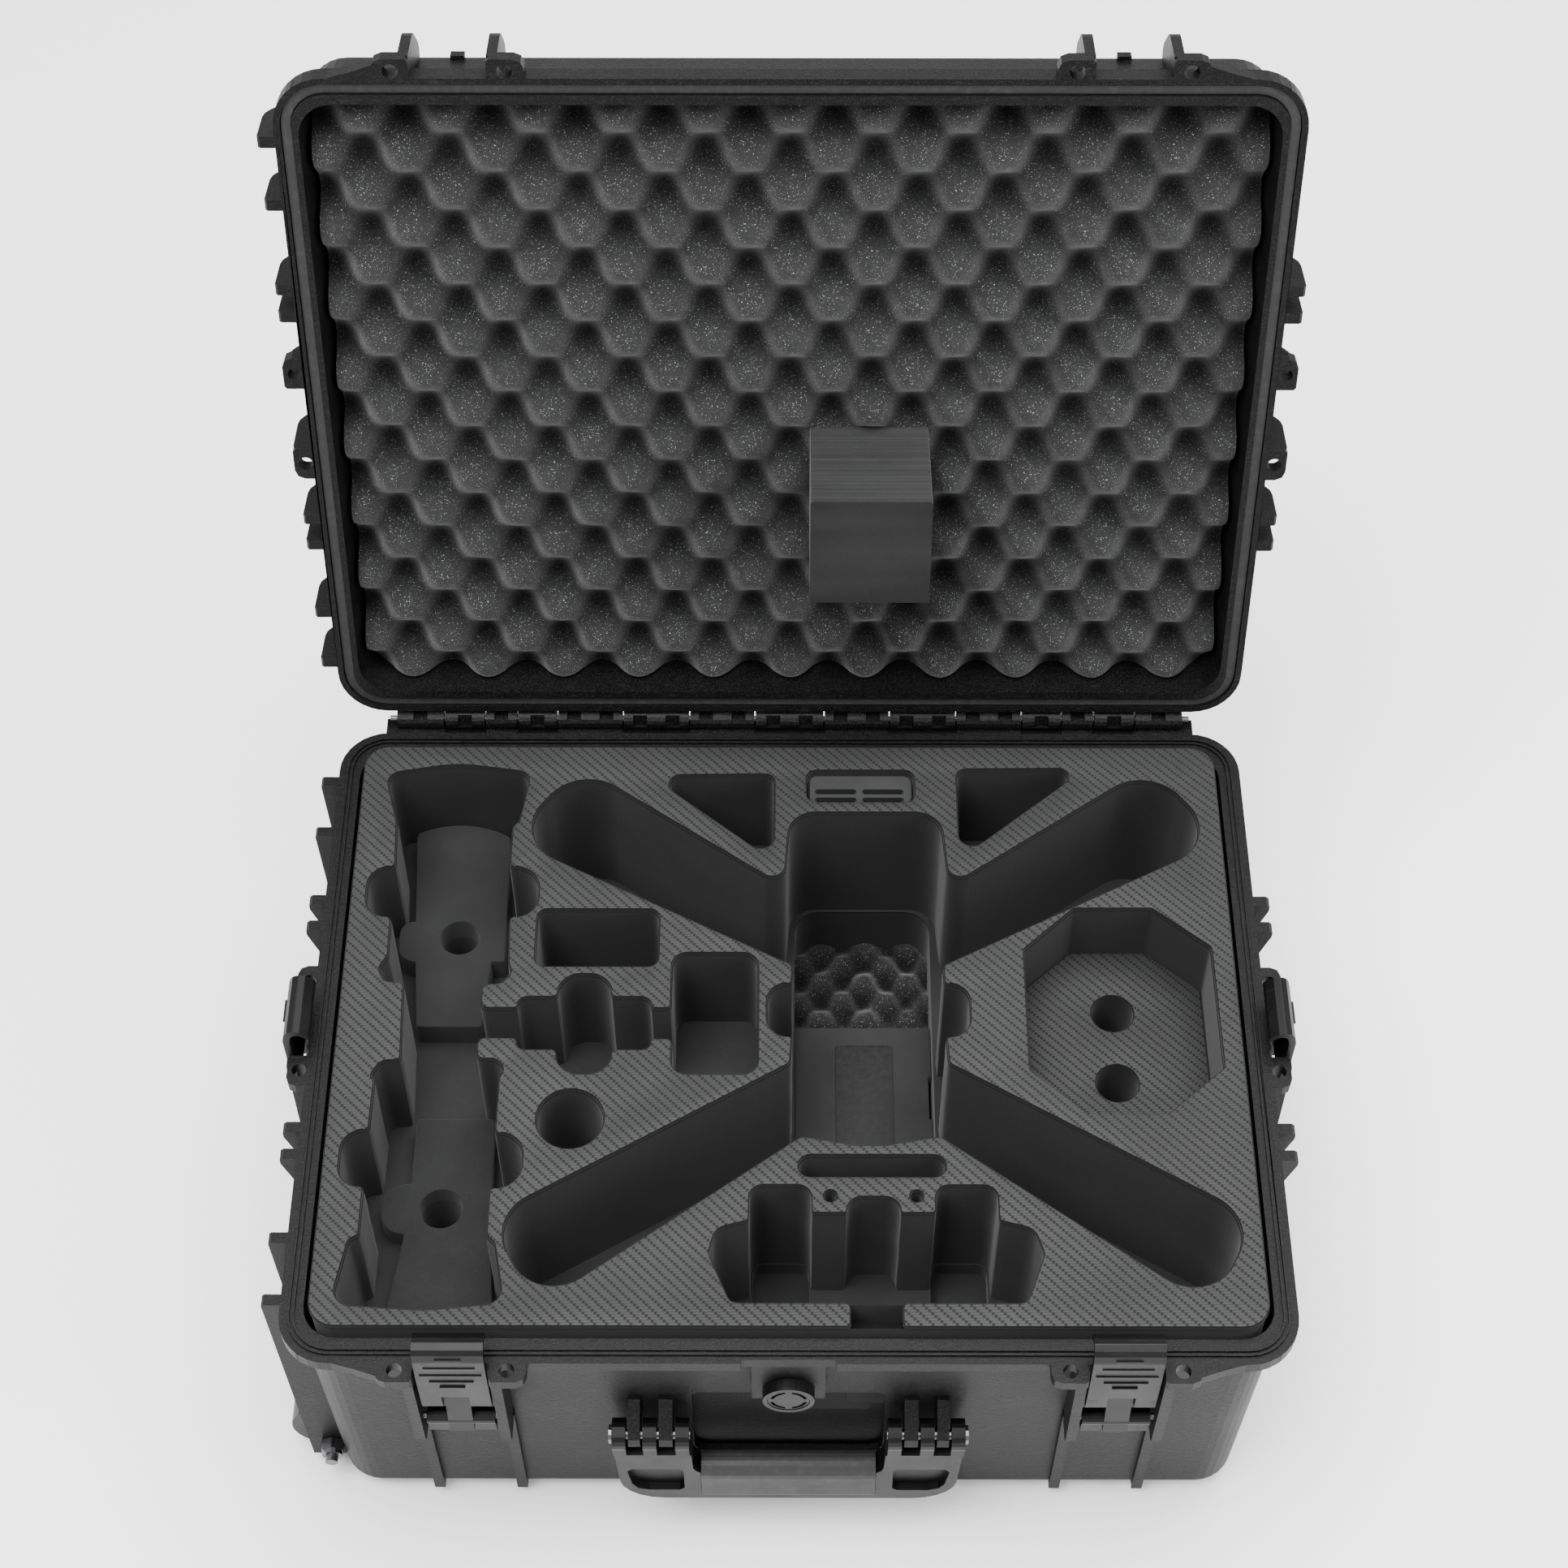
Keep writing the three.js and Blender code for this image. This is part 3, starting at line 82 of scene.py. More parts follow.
DRONE_HALF = [
    (8, -86, 30), (41, -80, 8), (191, -190, 26), (220, -134, 26), (47, -31, 5), (46, -12, 2),
    (61, -12, 15), (61, 26, 15), (46, 25, 2), (45.5, 39, 5), (224, 133, 29), (182, 189, 29), (51, 96, 9),
    (47, 153, 17),
]
DRONE_BED = ([(CROSS_X + x, y, r) for x, y, r in DRONE_HALF]
             + [(CROSS_X - x, y, r) for x, y, r in reversed(DRONE_HALF)])
BODY_WELL = [(3.6, -78, 8), (92.2, -78, 8), (92.2, 151.3, 17), (3.6, 151.3, 17)]
TRIANGLES = [
    [(-88, 182, 7), (-10, 183, 6), (-10, 117, 8)],
    [(107, 187, 6), (188, 188, 6), (107, 119, 8)],
]
CARD_RECESS = [(11.5, 162, 6), (79, 162, 6), (79, 186, 6), (11.5, 186, 6)]
SMALL_POCKET = [(-155, 38, 6), (-80.5, 38, 6), (-80.5, 79, 6), (-155, 79, 6)]
CHARGER_POCKET = [
    (144, 50, 3), (144, -35, 3), (177, -64, 3), (224, -64, 3), (259, -33, 3), (258, 52, 3), (224, 80, 3),
    (176, 80, 3),
]
CABLE_SLOT = [(6, -107, 6.6), (91, -107, 6.6), (91, -93.5, 6.6), (6, -93.5, 6.6)]
CAMERA_TOP = [  # the camera pocket without its front edge, from its front left corner round the back
    (-33, -188, 6), (-46, -157, 9), (-42, -141, 10), (-23, -136, 3), (-23, -113, 8), (13, -113, 8),
    (13, -131, 2), (33.5, -131, 2), (33.5, -120.5, 15), (64.5, -120.5, 15), (64.5, -131, 2), (85, -131, 2),
    (85, -113, 8), (121, -113, 8), (121, -136, 3), (141, -141, 10), (146, -157, 9), (135, -188, 6),
]
SHEET_OUTLINE = ([(-272, 205, 16), (-272, -203, 16), (35, -203, 2), (35, -188, 3)] + CAMERA_TOP
                 + [(64.5, -188, 3), (64.5, -203, 2), (272, -203, 16), (272, 205, 16)])
ROUND_POCKET = (-129, -69, 19.5)
REMOTE_FINGERS = [(-210, 97.5, 12.5), (-209, -94, 13)]
CHARGER_FINGERS = [(201, 34, 13), (201, -16, 13)]
PROBE_HOLES = [(24, -120, 3.3), (74, -120, 3.3)]


def circle(x, y, radius, count=40):
    return [(x + radius * math.cos(2 * math.pi * i / count), y + radius * math.sin(2 * math.pi * i / count))
            for i in range(count)]


def rounded(corners, step=1.6):
    """Points of a polygon whose corners are rounded to their own radii, about a step apart on the arcs."""
    items = []
    for i, (x, y, radius) in enumerate(corners):
        corner = Vector((x, y))
        before = Vector(corners[i - 1][:2]) - corner
        after = Vector(corners[(i + 1) % len(corners)][:2]) - corner
        edge = after.length
        before.normalize()
        after.normalize()
        half = before.angle(after) / 2
        items.append((corner, before, after, half, edge, max(radius / math.tan(half), 1e-6)))
    wanted = [item[5] for item in items]
    shares = [min(1, item[4] * 0.998 / (wanted[i] + wanted[(i + 1) % len(items)])) for i, item in enumerate(items)]
    points = []
    for i, (corner, before, after, half, _, wish) in enumerate(items):
        reach = wish * min(shares[i], shares[i - 1])
        r = reach * math.tan(half)
        turn = math.pi - 2 * half
        if r < 0.2:
            points.append((corner.x, corner.y))
            continue
        count = max(2, min(28, int(r * turn / step)))
        centre = corner + (before + after).normalized() * (r / math.sin(half))
        start = corner + before * reach - centre
        sign = -1 if before.x * after.y - before.y * after.x > 0 else 1
        for k in range(count + 1):
            a = sign * turn * k / count
            points.append((centre.x + start.x * math.cos(a) - start.y * math.sin(a),
                           centre.y + start.x * math.sin(a) + start.y * math.cos(a)))
    return points


def area(points):
    return 0.5 * sum(a[0] * b[1] - b[0] * a[1] for a, b in zip(points, points[1:] + points[:1]))


def anticlockwise(points):
    return points if area(points) > 0 else points[::-1]


def subdivided(points, longest=6):
    """The same loop with no edge longer than that, so that its walls can be uneven."""
    out = []
    for a, b in zip(points, points[1:] + points[:1]):
        count = max(1, math.ceil(math.dist(a, b) / longest))
        out += [(a[0] + (b[0] - a[0]) * k / count, a[1] + (b[1] - a[1]) * k / count) for k in range(count)]
    return out

# ------------------------------------------------------------ materials


def new_material(name, color, roughness, metallic=0.0, **sockets):
    mat = bpy.data.materials.new(name)
    mat.use_nodes = True
    shader = mat.node_tree.nodes["Principled BSDF"]
    shader.inputs["Base Color"].default_value = (*color, 1)
    shader.inputs["Roughness"].default_value = roughness
    shader.inputs["Metallic"].default_value = metallic
    for key, value in sockets.items():
        shader.inputs[key.replace("_", " ")].default_value = value
    return mat, Nodes(mat.node_tree, shader)


class Nodes:
    """Short calls for building one material's nodes."""

    def __init__(self, tree, shader):
        self.tree = tree
        self.shader = shader
        self.coords = self.add("ShaderNodeTexCoord").outputs["Object"]

    def add(self, kind, **settings):
        made = self.tree.nodes.new(kind)
        for key, value in settings.items():
            setattr(made, key, value)
        return made

    def wire(self, value, socket):
        if isinstance(value, bpy.types.NodeSocket):
            self.tree.links.new(value, socket)
        else:
            socket.default_value = value

    def math(self, operation, a, b=0.0, clamp=False):
        made = self.add("ShaderNodeMath", operation=operation, use_clamp=clamp)
        self.wire(a, made.inputs[0])
        self.wire(b, made.inputs[1])
        return made.outputs[0]

    def mapped(self, rotation=(0, 0, 0), scale=(1, 1, 1), location=(0, 0, 0)):
        made = self.add("ShaderNodeMapping")
        self.wire(self.coords, made.inputs["Vector"])
        made.inputs["Rotation"].default_value = [math.radians(a) for a in rotation]
        made.inputs["Scale"].default_value = scale
        made.inputs["Location"].default_value = location
        return made.outputs[0]

    def noise(self, scale, detail=2.0, rough=0.5, vector=None):
        made = self.add("ShaderNodeTexNoise")
        self.wire(vector or self.coords, made.inputs["Vector"])
        made.inputs["Scale"].default_value = scale
        made.inputs["Detail"].default_value = detail
        made.inputs["Roughness"].default_value = rough
        return made.outputs["Fac"]

    def span(self, value, low, high, to_low=0.0, to_high=1.0):
        made = self.add("ShaderNodeMapRange")
        self.wire(value, made.inputs["Value"])
        for key, number in (("From Min", low), ("From Max", high), ("To Min", to_low), ("To Max", to_high)):
            made.inputs[key].default_value = number
        return made.outputs["Result"]

    def mix(self, factor, low, high):
        made = self.add("ShaderNodeMix", data_type="RGBA")
        self.wire(factor, made.inputs["Factor"])
        for socket, color in ((made.inputs[6], low), (made.inputs[7], high)):
            self.wire(color if isinstance(color, bpy.types.NodeSocket) else (*color, 1), socket)
        return made.outputs[2]

    def bump(self, height, strength, distance_mm, normal=None):
        made = self.add("ShaderNodeBump")
        made.inputs["Strength"].default_value = strength
        made.inputs["Distance"].default_value = distance_mm * MM
        self.wire(height, made.inputs["Height"])
        if normal:
            self.wire(normal, made.inputs["Normal"])
        return made.outputs["Normal"]

    def finish(self, color=None, roughness=None, normal=None):
        for value, key in ((color, "Base Color"), (roughness, "Roughness"), (normal, "Normal")):
            if value is not None:
                self.wire(value, self.shader.inputs[key])


def grey(value):
    """Linear colour of a grey given as its 0-255 screen value, a touch cool."""
    c = (value / 255) ** 2.2
    return (c * 0.985, c, c * 1.015)


def case_plastic():
    """Moulded polypropylene: a pebbled mould grain with faint criss-cross strokes."""
    mat, n = new_material("case_plastic", grey(20), 0.5, Specular_IOR_Level=0.12)
    grain = n.noise(1300, 3, 0.6)
    pebble = n.noise(420, 2, 0.5)
    first = n.noise(1, 2, 0.6, n.mapped((18, 34, 40), (90, 1500, 90)))
    second = n.noise(1, 2, 0.6, n.mapped((-25, 20, -52), (80, 1300, 80)))
    strokes = n.math("MAXIMUM", n.span(first, 0.6, 0.72), n.span(second, 0.62, 0.74))
    cloud = n.noise(14, 3, 0.55)
    body = n.mix(n.span(cloud, 0.3, 0.7), grey(10), grey(14))
    dotted = n.mix(n.span(grain, 0.5, 0.64, 0, 0.8), body, grey(36))
    color = n.mix(n.math("MULTIPLY", strokes, 0.1), dotted, grey(60))
    rough = n.span(n.math("ADD", cloud, n.math("MULTIPLY", pebble, 0.5)), 0.4, 1.1, 0.42, 0.5)
    normal = n.bump(pebble, 0.35, 0.5, n.bump(grain, 0.55, 0.25))
    n.finish(color, rough, n.bump(strokes, 0.2, 0.12, normal))
    return mat


def smooth_plastic():
    """Glass-filled nylon of the latches and the handle: satin with a fine orange-peel."""
    mat, n = new_material("smooth_plastic", grey(14), 0.44, Specular_IOR_Level=0.2)
    peel = n.noise(900, 2, 0.5)
    cloud = n.noise(30, 3, 0.6)
    scuffs = n.span(n.noise(1, 2, 0.6, n.mapped((10, 25, 33), (60, 1100, 60))), 0.66, 0.76)
    color = n.mix(n.span(cloud, 0.35, 0.7), grey(9), grey(16))
    rough = n.math("ADD", n.span(cloud, 0.3, 0.7, 0.38, 0.48), n.math("MULTIPLY", scuffs, 0.15))
    n.finish(n.mix(n.math("MULTIPLY", scuffs, 0.25), color, grey(58)), rough, n.bump(peel, 0.25, 0.2))
    return mat


def rubber(name, level, roughness):
    mat, n = new_material(name, grey(level), roughness, Specular_IOR_Level=0.25)
    dust = n.noise(220, 4, 0.65)
    cloud = n.noise(25, 3, 0.6)
    color = n.mix(n.span(dust, 0.5, 0.75, 0, 0.6), grey(level - 5), grey(level + 12))
    n.finish(color, n.span(cloud, 0.3, 0.7, roughness - 0.08, roughness + 0.08), n.bump(n.noise(1600, 2), 0.3, 0.15))
    return mat


def metal(name, color, roughness):
    mat, n = new_material(name, color, roughness, 1.0)
    lines = n.noise(1, 2, 0.5, n.mapped((0, 0, 0), (900, 60, 900)))
    worn = n.noise(120, 4, 0.7)
    dull = tuple(c * 0.45 for c in color)
    rough = n.math("ADD", n.span(lines, 0.3, 0.7, roughness - 0.1, roughness + 0.06),
                   n.span(worn, 0.5, 0.8, 0, 0.15))
    n.finish(n.mix(n.span(worn, 0.45, 0.75, 0, 0.7), color, dull), rough, n.bump(lines, 0.15, 0.05))
    return mat


def cut_foam(name, level, band=0.0):
    """Closed-cell foam where it is cut: fine grain, matt with a soft sheen, and fine bands on the lid's block."""
    mat, n = new_material(name, grey(level), 0.92, Specular_IOR_Level=0.14, Sheen_Weight=0.08,
                          Sheen_Roughness=0.5)
    grain = n.noise(1500, 3, 0.65)
    cells = n.noise(520, 2, 0.5)
    cloud = n.noise(16, 4, 0.6)
    color = n.mix(n.span(cloud, 0.3, 0.72), grey(level - 5), grey(level + 5))
    color = n.mix(n.span(grain, 0.56, 0.78, 0, 0.55), color, grey(level + 24))
    height = n.math("ADD", grain, n.math("MULTIPLY", cells, 0.7))
    if band:
        rows = n.noise(1, 2, 0.6, n.mapped((0, 0, 0), (4, 30, 620)))
        color = n.mix(n.span(rows, 0.4, 0.65, 0, band), color, grey(level + 26))
        height = n.math("ADD", height, n.math("MULTIPLY", rows, 1.5))
    n.finish(color, n.span(cloud, 0.3, 0.7, 0.86, 0.97), n.bump(height, 0.5, 0.3))
    return mat


def twill_foam():
    """The embossed skin of the foam: a two-by-two twill whose dashes step sideways from row to row."""
    mat, n = new_material("twill_foam", grey(48), 0.62, Specular_IOR_Level=0.2, Sheen_Weight=0.04)
    split = n.add("ShaderNodeSeparateXYZ")
    n.wire(n.coords, split.inputs[0])
    wobble = n.math("MULTIPLY", n.math("SUBTRACT", n.noise(90, 2), 0.5), 0.35)
    across = n.math("ADD", n.math("MULTIPLY", split.outputs[1], 1 / (TWILL_CELL * MM)), wobble)
    row = n.math("FLOOR", across)
    inside = n.math("FRACT", across)
    cells = n.math("MULTIPLY", split.outputs[0], 1 / (4 * TWILL_CELL * MM))
    along = n.math("FRACT", n.math("ADD", cells, n.math("MULTIPLY", row, 0.25)))
    dent = n.math("MULTIPLY", n.span(along, 0.02, 0.16), n.span(along, 0.2, 0.38, 1, 0))
    arch = n.math("ABSOLUTE", n.math("SUBTRACT", n.math("MULTIPLY", inside, 2.0), 1.0))
    arch = n.math("SUBTRACT", 1.0, n.math("POWER", arch, 3.0))
    height = n.math("MULTIPLY", n.span(dent, 0, 1, 1, 0.12), n.span(arch, 0, 1, 0.72, 1))
    grain = n.noise(2200, 2)
    cloud = n.noise(11, 4, 0.6)
    light = n.mix(n.span(cloud, 0.3, 0.7), grey(37), grey(44))
    # painted shade: the dents and the edges of each row are darker, by their height
    color = n.mix(n.span(height, 0.1, 0.95), grey(13), light)
    color = n.mix(n.span(grain, 0.55, 0.8, 0, 0.3), color, grey(60))
    normal = n.bump(height, 0.7, 0.4, n.bump(grain, 0.2, 0.1))
    n.finish(color, n.span(height, 0, 1, 0.78, 0.55), normal)
    return mat


def egg_foam():
    """Open-cell foam: soft, its tiny struts shown as bright specks of painted glint, with painted shade darkening the
    hollows.
    """
    mat, n = new_material("egg_foam", grey(32), 0.95, Specular_IOR_Level=0.1, Sheen_Weight=0.2,
                          Sheen_Roughness=0.45)
    depth = n.add("ShaderNodeAttribute", attribute_name="depth").outputs["Fac"]
    grain = n.noise(1050, 3, 0.7)
    glint_specks = n.span(n.noise(1500, 1, 0.5), 0.68, 0.74)
    cloud = n.noise(9, 3)
    # painted shade: darker towards the hollows by the depth attribute, with a random cloud of tone mixed in
    shade = n.math("ADD", depth, n.math("MULTIPLY", n.math("SUBTRACT", cloud, 0.5), 0.3))
    color = n.mix(n.span(shade, 0.0, 0.9), grey(40), grey(14))
    color = n.mix(n.span(grain, 0.5, 0.8, 0, 0.5), color, grey(64))
    # painted glints: bright specks on the struts, fading into the hollows as painted shade
    color = n.mix(n.math("MULTIPLY", glint_specks, n.span(depth, 0.0, 0.9, 0.7, 0.15)), color, grey(200))
    n.finish(color, None, n.bump(grain, 0.7, 0.5))
    return mat


def label_stock():
    """A blank matt plate with a slight mottle."""
    mat, n = new_material("label", grey(30), 0.7, Specular_IOR_Level=0.15)
    mottle = n.noise(260, 4, 0.7)
    n.finish(n.mix(n.span(mottle, 0.35, 0.7), grey(24), grey(38)), n.span(mottle, 0.3, 0.7, 0.45, 0.65),
             n.bump(n.noise(700, 2), 0.2, 0.1))
    return mat


MATERIALS = {
    "case_plastic": case_plastic(),
    "smooth_plastic": smooth_plastic(),
    "rubber": rubber("rubber", 46, 0.55),
    "tyre": rubber("tyre", 16, 0.42),
    "steel": metal("steel", (0.15, 0.15, 0.155), 0.38),
    "tube": metal("tube", (0.62, 0.63, 0.64), 0.3),
    "foam_skin": twill_foam(),
    "foam": cut_foam("cut_foam", 16),
    "egg_foam": egg_foam(),
}
# a lighter copy of the cut foam for floors facing up: painted light from above
LIT_FLOOR_FOAM = cut_foam("lit_floor_foam", 38)
EDGE_FOAM = cut_foam("edge_foam", 12)
BLOCK_FOAM = cut_foam("block_foam", 27, 0.3)
REST_FOAM = cut_foam("rest_foam", 42)
TRAY_FOAM = cut_foam("tray_foam", 44)
INSERT_FOAM = cut_foam("insert_foam", 35)
LABEL = label_stock()

# ------------------------------------------------------------ mesh helpers


def new_object(name, verts, faces, material, matrix=None):
    mesh = bpy.data.meshes.new(name)
    mesh.from_pydata([tuple(c * MM for c in v) for v in verts], [], faces)
    mesh.update()
    obj = bpy.data.objects.new(name, mesh)
    bpy.context.collection.objects.link(obj)
    obj.data.materials.append(material)
    if matrix:
        obj.matrix_world = matrix
    return obj


def shade(obj, angle=35):
    """Smooth shading with sharp edges where two faces meet at more than the angle."""
    import bmesh
    bm = bmesh.new()
    bm.from_mesh(obj.data)
    bmesh.ops.recalc_face_normals(bm, faces=bm.faces)
    limit = math.radians(angle)
    for face in bm.faces:
        face.smooth = True
    for edge in bm.edges:
        edge.smooth = len(edge.link_faces) == 2 and edge.calc_face_angle(0) < limit
    bm.to_mesh(obj.data)
    bm.free()
    return obj


def offset(points, distance):
    """The loop with every point moved to the right of its travel by the distance."""
    moved = []
    for i, point in enumerate(points):
        here = Vector(point)
        first = (here - Vector(points[i - 1])).normalized()
        second = (Vector(points[(i + 1) % len(points)]) - here).normalized()
        side = Vector((first.y + second.y, -first.x - second.x)).normalized()
        stretch = distance / max(0.6, math.sqrt(max(0, (1 + first.dot(second)) / 2)))
        moved.append((here.x + side.x * stretch, here.y + side.y * stretch))
    return moved


def encloses(loop, x, y):
    inside = False
    for (ax, ay), (bx, by) in zip(loop, loop[1:] + loop[:1]):
        if (ay > y) != (by > y) and x < ax + (y - ay) * (bx - ax) / (by - ay):
            inside = not inside
    return inside


def triangles(loops):
    """Triangles between the first loop and the holes in it, as indices into all the loops' points in turn."""
    points = [Vector(point) for loop in loops for point in loop]
    edges = []
    for loop in loops:
        start = len(edges)
        edges += [(start + i, start + (i + 1) % len(loop)) for i in range(len(loop))]
    out, _, faces, origins, _, _ = delaunay_2d_cdt(points, edges, [], 1, 1e-5)
    kept = []
    for face in faces:
        x = sum(out[i].x for i in face) / 3
        y = sum(out[i].y for i in face) / 3
        if encloses(loops[0], x, y) and not any(encloses(hole, x, y) for hole in loops[1:]):
            kept.append(tuple(origins[i][0] for i in face))
    return kept


def slab(name, outline, holes, z0, z1, lip, material, side=None, matrix=None):
    """A flat piece with holes, its upper edges rounded by the lip radius; its sides can have their own material."""
    loops = [anticlockwise(outline)] + [anticlockwise(hole)[::-1] for hole in holes]
    levels = [(0, z0), (0, z1 - lip)]
    levels += [(lip * (math.cos(a) - 1), z1 - lip + lip * math.sin(a)) for a in map(math.radians, (30, 60, 90))]
    total = sum(len(loop) for loop in loops)
    verts = [(x, y, z) for shift, z in levels for loop in loops for x, y in offset(loop, shift)]
    faces = []
    for level in range(len(levels) - 1):
        start = level * total
        for loop in loops:
            count = len(loop)
            for i in range(count):
                a, b = start + i, start + (i + 1) % count
                faces.append((a, b, b + total, a + total))
            start += count
    sides = len(faces)
    caps = triangles(loops)
    last = total * (len(levels) - 1)
    faces += [tuple(last + i for i in face) for face in caps]
    faces += [face[::-1] for face in caps]
    piece = new_object(name, verts, faces, material, matrix)
    if side:
        piece.data.materials.append(side)
        for index in range(sides):
            piece.data.polygons[index].material_index = 1
    return shade(piece, 40)


class Foam:
    """One mesh of cut foam: the walls, floors and ledges of its pockets."""

    def __init__(self):
        self.verts = []
        self.faces = []
        # floor faces that take the lighter copy of the foam: painted light
        self.flat = set()

    def ring(self, points, z):
        start = len(self.verts)
        self.verts += [(x, y, z) for x, y in points]
        return list(range(start, len(self.verts)))

    def band(self, low, high):
        for i in range(len(low)):
            self.faces.append((low[i - 1], high[i - 1], high[i], low[i]))

    def walls(self, outline, z_low, z_high, wave=0.35, ledge=0.0):
        """Slightly uneven walls, as a water jet leaves them, with a ledge round the top if asked."""
        loop = subdivided(anticlockwise(outline))
        levels = max(2, math.ceil((z_high - z_low) / 9) + 1)
        rows = []
        for k in range(levels):
            z = z_low + (z_high - z_low) * k / (levels - 1)
            inner = 0 if k in (0, levels - 1) else wave
            row = []
            for i, (x, y) in enumerate(loop):
                px, py = loop[i - 1]
                nx, ny = loop[(i + 1) % len(loop)]
                side = Vector((ny - py, px - nx)).normalized()
                push = inner * noise.noise(Vector((x / 30, y / 30, z / 22)))
                row.append((x + side.x * push, y + side.y * push))
            rows.append(self.ring(row, z))
        for low, high in zip(rows, rows[1:]):
            self.band(low, high)
        if ledge:
            self.band(rows[-1], self.ring(offset(loop, 0.35), z_high + 0.35))
            self.band(self.ring(offset(loop, 0.35), z_high + 0.35), self.ring(offset(loop, ledge), z_high + 0.35))

    def floor(self, outline, z, holes=(), in_shade=False):
        loops = [anticlockwise(outline)] + [anticlockwise(hole) for hole in holes]
        start = len(self.verts)
        self.verts += [(x, y, z) for loop in loops for x, y in loop]
        for face in triangles(loops):
            # floors take the lighter foam as painted light from above; floors in shade keep the walls' darker foam
            if not in_shade:
                self.flat.add(len(self.faces))
            self.faces.append(tuple(start + i for i in face))

    def pocket(self, outline, z_floor, z_top, holes=(), ledge=0.0):
        self.walls(outline, z_floor, z_top, ledge=ledge)
        self.floor(outline, z_floor, holes)

    def object(self, name, material, lit_floor_material):
        made = new_object(name, self.verts, self.faces, material)
        # the lighter floor foam: painted light on the floors facing up
        made.data.materials.append(lit_floor_material)
        for index in self.flat:
            made.data.polygons[index].material_index = 1
        return shade(made, 30)


def declare(obj, body, slot_name, *nodes):
    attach(obj, body)
    if nodes:
        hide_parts(*nodes)
    return obj


# ------------------------------------------------------------ foam in the base


def base_foam():
    bay = rounded(REMOTE_BAY)
    bed = rounded(DRONE_BED)
    well = rounded(BODY_WELL)
    charger = rounded(CHARGER_POCKET, 1)
    outer = rounded(SHEET_OUTLINE)
    singles = [rounded(shape) for shape in (*TRIANGLES, SMALL_POCKET, CABLE_SLOT)]
    card = rounded(CARD_RECESS)
    deep = circle(*ROUND_POCKET)
    probes = [circle(*hole, 20) for hole in PROBE_HOLES]
    holes = [bay, bed, charger, card, deep] + singles + probes
    wider = [offset(anticlockwise(hole), SHEET_GROWTH) for hole in holes]
    sheet = slab("foam_skin", outer, wider, SHEET_BOTTOM, FOAM_TOP, 0.7, MATERIALS["foam_skin"], EDGE_FOAM)
    declare(sheet, "case", "foam_skin", "foam_top_sheet")

    foam = Foam()
    top = SHEET_BOTTOM - 0.35
    shelf = SHEET_GROWTH + 1.5
    foam.walls(rounded([(-271.5, 202.5, 16), (-271.5, -202.5, 16), (271.5, -202.5, 16), (271.5, 202.5, 16)]), SEAM, top)
    fingers = [circle(*hole) for hole in REMOTE_FINGERS]
    foam.pocket(bay, POCKET_FLOOR, top, fingers, shelf)
    pulls = [circle(*hole) for hole in CHARGER_FINGERS]
    foam.pocket(charger, POCKET_FLOOR, top, pulls, shelf)
    for hole in fingers + pulls:
        foam.walls(hole, SEAM, POCKET_FLOOR)
        foam.floor(hole, SEAM, in_shade=True)
    foam.pocket(bed, SEAM, top, [well], shelf)
    foam.walls(well, BODY_FLOOR, SEAM - 1.2)
    lip = offset(anticlockwise(well), 0.6)
    foam.band(foam.ring(anticlockwise(well), SEAM - 1.2), foam.ring(lip, SEAM - 0.2))
    foam.floor(well, BODY_FLOOR)
    for shape in singles:
        foam.pocket(shape, POCKET_FLOOR, top, ledge=shelf)
    foam.pocket(card, 204, top, ledge=shelf)
    foam.walls(deep, SEAM, top, ledge=shelf)
    foam.floor(deep, SEAM, in_shade=True)
    for hole in probes:
        foam.pocket(hole, 185, top, ledge=shelf)
    camera_pocket(foam, top)
    blocks = foam.object("foam_blocks", MATERIALS["foam"], LIT_FLOOR_FOAM)
    declare(blocks, "case", "foam", "foam_upper_block", "foam_middle_block", "foam_lower_block", "foam_bottom_block")


def camera_pocket(foam, top):
    """The shaped pocket by the front edge: a floor with a round lobe at its middle and a deep slot at each end."""
    camera = rounded(CAMERA_TOP)
    slots = [rounded([(x, -187, 4), (x, -114, 7), (x + 34.5, -114, 7), (x + 34.5, -187, 4)]) for x in (-22, 85.5)]
    foam.walls(camera, CAMERA_FLOOR, top)
    foam.floor(camera, CAMERA_FLOOR, slots)
    for shape in slots:
        foam.pocket(shape, SEAM, CAMERA_FLOOR)
    step = rounded([(34.5, -204, 1), (65, -204, 1), (65, -190, 1), (34.5, -190, 1)])
    foam.walls(step, CAMERA_FLOOR, 201, 0)
    foam.floor(step, 201, in_shade=True)


def insert(name, outline, z1, holes, material, node, slot="foam", side=None, lip=0.8):
    piece = slab(name, rounded(outline), [circle(*hole) for hole in holes], POCKET_FLOOR + 0.3, z1, lip, material, side)
    declare(piece, "case", slot, node)


